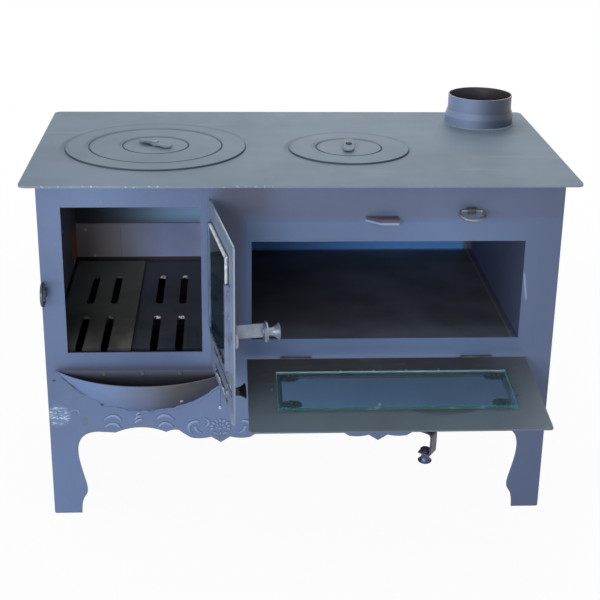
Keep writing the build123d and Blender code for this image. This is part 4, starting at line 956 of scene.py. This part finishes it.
def make_world(scene):
    """A white studio that lights the stove as if it were dimmer and a little blue."""
    f = Finish("studio", "worlds")
    dim = f.node("Background", values={"Color": (0.93, 0.96, 1.0, 1.0), "Strength": 0.40})
    white = f.node("Background", values={"Color": (1, 1, 1, 1), "Strength": 1.0})
    surface = f.node("MixShader", values={0: seen(f), 1: dim, 2: white})
    f.node("OutputWorld", values={"Surface": surface})
    scene.world = f.owner


def make_floor(scene):
    """A wide round floor: seen white, with a faint shadow that is gone a few metres away."""
    sides, radius = 64, 30
    f = Finish("pale_floor")
    far = (f.x * f.x + f.y * f.y).rise(0.8, 6.0)
    matt = {"Base Color": (0.93, 0.93, 0.93, 1), "Roughness": 0.8, "Specular IOR Level": 0.0}
    shaded = f.node("BsdfPrincipled", values=matt)
    glow = f.node("Emission", values={"Color": (1, 1, 1, 1), "Strength": 1.0})
    share = seen(f) * (far * 0.05 + 0.95)
    surface = f.node("MixShader", values={0: share, 1: shaded, 2: glow})
    f.node("OutputMaterial", values={"Surface": surface})
    a = np.linspace(0, 2 * np.pi, sides, endpoint=False)
    points = [(0, 0, 0)] + [(radius * np.cos(t), radius * np.sin(t), 0) for t in a]
    faces = [(0, i + 1, (i + 1) % sides + 1) for i in range(sides)]
    mesh = bpy.data.meshes.new("floor")
    mesh.from_pydata(points, [], faces)
    mesh.materials.append(f.owner)
    floor = bpy.data.objects.new("floor", mesh)
    scene.collection.objects.link(floor)


# ================================================================ the stove
def dress(names, material):
    """Gives carried-over CAD nodes their finish."""
    for name in names:
        mesh = nodes[name].data
        mesh.materials.clear()
        mesh.materials.append(material)


paints = make_paints()
dress(["front_panel"], paints["front"])
dress(["ash_catcher"], paints["catcher"])
dress(["back_panel"], paints["back"])
dress(["left_side_panel", "right_side_panel", "bottom_plate"], paints["panel"])
dress(["oven_latch_keeper"], paints["keeper"])
dress(["cooktop_plate"], paints["cooktop"])
dress(["left_outer_ring", "left_middle_ring", "right_outer_ring"], paints["rings"])
dress(["left_lid", "right_lid", "left_lid_tab", "right_lid_tab"], paints["rings"])
dress(["flue_collar", "flue_sleeve"], paints["collar"])
dress(["firebox_door"], paints["door"])
dress(["air_slide"], paints["slide"])
dress(["glass_bottom_strip"], paints["strip"])
dress(["oven_door", "oven_window_trim", "oven_handle_rivet"], oven_door_paint())

lining = sooty_steel("oven_lining", (98, 101, 114), (76, 78, 88), 0.6, oven_marks)
dress(["oven_box"], lining)
inner = sooty_steel("firebox_steel", (90, 92, 104), (66, 67, 76))
dress(["firebox_partition", "grate_rails", "ash_pan"], inner)
# The liners' very light blue colours are painted light inside the firebox.
liners = sooty_steel("liner_steel", (176, 196, 248), (150, 168, 222), 0.6, liner_marks)
dress(["firebox_liners"], liners)
dress(["left_grate"], cast_iron("left_grate_iron", (112, 112, 106), (76, 76, 73), 0.5, 0.15))
dress(["right_grate"], cast_iron("right_grate_iron", (84, 86, 96), (62, 66, 80), 0.0, 1.0))

worn = bare_metal("worn_latch_metal", (140, 148, 164), (112, 120, 136), 0.6, 0.36)
dress(["firebox_handle", "firebox_handle_rivet"], worn)
dress(["firebox_handle_washer", "firebox_handle_knob"], worn)
strips = bare_metal("strip_metal", (136, 146, 178), (114, 124, 156), 0.5, 0.38)
dress(["glass_side_strips"], strips)
rivet = bare_metal("rivet_metal", (160, 168, 186), (118, 126, 142), 0.7, 0.32)
dress(["ash_catcher_rivets", "glass_strip_rivets", "oven_trim_screws"], rivet)
dress(["air_slide_nut", "air_slide_clips"], rivet)
black = bare_metal("black_metal", (24, 26, 32), (15, 16, 20), 0.2, 0.2)
dress(["air_slide_knob"], black)
arm = bare_metal("purple_steel", (78, 72, 90), (58, 55, 68), 0.4, 0.34)
dress(["oven_handle", "oven_handle_washer"], arm)
blued = bare_metal("blued_knob", (70, 82, 118), (48, 56, 82), 0.5, 0.25)
dress(["oven_handle_knob"], blued)
ringed = bare_metal("ring_metal", (138, 148, 152), (92, 100, 106), 0.6, 0.34)
dress(["oven_ring_catch"], ringed)
dark_ring = bare_metal("dark_ring_metal", (92, 100, 110), (52, 58, 66), 0.6, 0.36)
dress(["firebox_ring_catch"], dark_ring)
hinge = bare_metal("hinge_metal", (92, 94, 104), (66, 66, 74), 0.5, 0.4)
dress(["firebox_hinge_body_leaf", "firebox_hinge_door_leaf", "firebox_hinge_pin"], hinge)
dress(["oven_hinge_body_leaves", "oven_hinge_door_leaves", "oven_hinge_pins"], hinge)
dress(["ring_catch_brackets"], hinge)
pale_rivet = bare_metal("pale_rivet_metal", (150, 166, 178), (130, 144, 156), 0.0, 0.6)
dress(["left_lid_rivet"], pale_rivet)
sooty_rivet = bare_metal("sooty_rivet_metal", (38, 46, 54), (26, 32, 38), 0.0, 0.75)
dress(["right_lid_rivet"], sooty_rivet)

low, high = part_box("oven_glass")
rims = [("x", low.x, high.x), ("y", low.y, high.y)]
far = ("y", high.y)
oven_pane = stove_glass("oven_window_glass", (190, 218, 232), (58, 160, 162), far, rims)
dress(["oven_glass"], oven_pane)
low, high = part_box("firebox_glass")
rims = [("z", low.z, high.z), ("y", low.y, high.y)]
nowhere = ("z", high.z + 1)
fire_pane = stove_glass("fire_window_glass", (112, 150, 166), (60, 110, 112), nowhere, rims)
dress(["firebox_glass"], fire_pane)
rope = glass_tape("woven_rope", (206, 214, 222), (150, 160, 172), 0.43, 0.52)
dress(["firebox_glass_rope"], rope)
knitted = mesh_pad("knitted_pad", (46, 56, 60), (20, 25, 28), (150, 166, 170))
dress(["oven_glass_pads"], knitted)

make_relief(paints["relief"])
make_panel_rivets(rivet, hinge)
make_catcher_weld(paints["panel"])
make_weld_bead(paints["rings"])
make_glass_tape(glass_tape("edge_tape", (228, 234, 238), (186, 194, 202), 0.5, 0.56))

scene = bpy.context.scene
scene.view_settings.view_transform = "Standard"
make_camera(scene)
make_lamps(scene)
make_world(scene)
make_floor(scene)
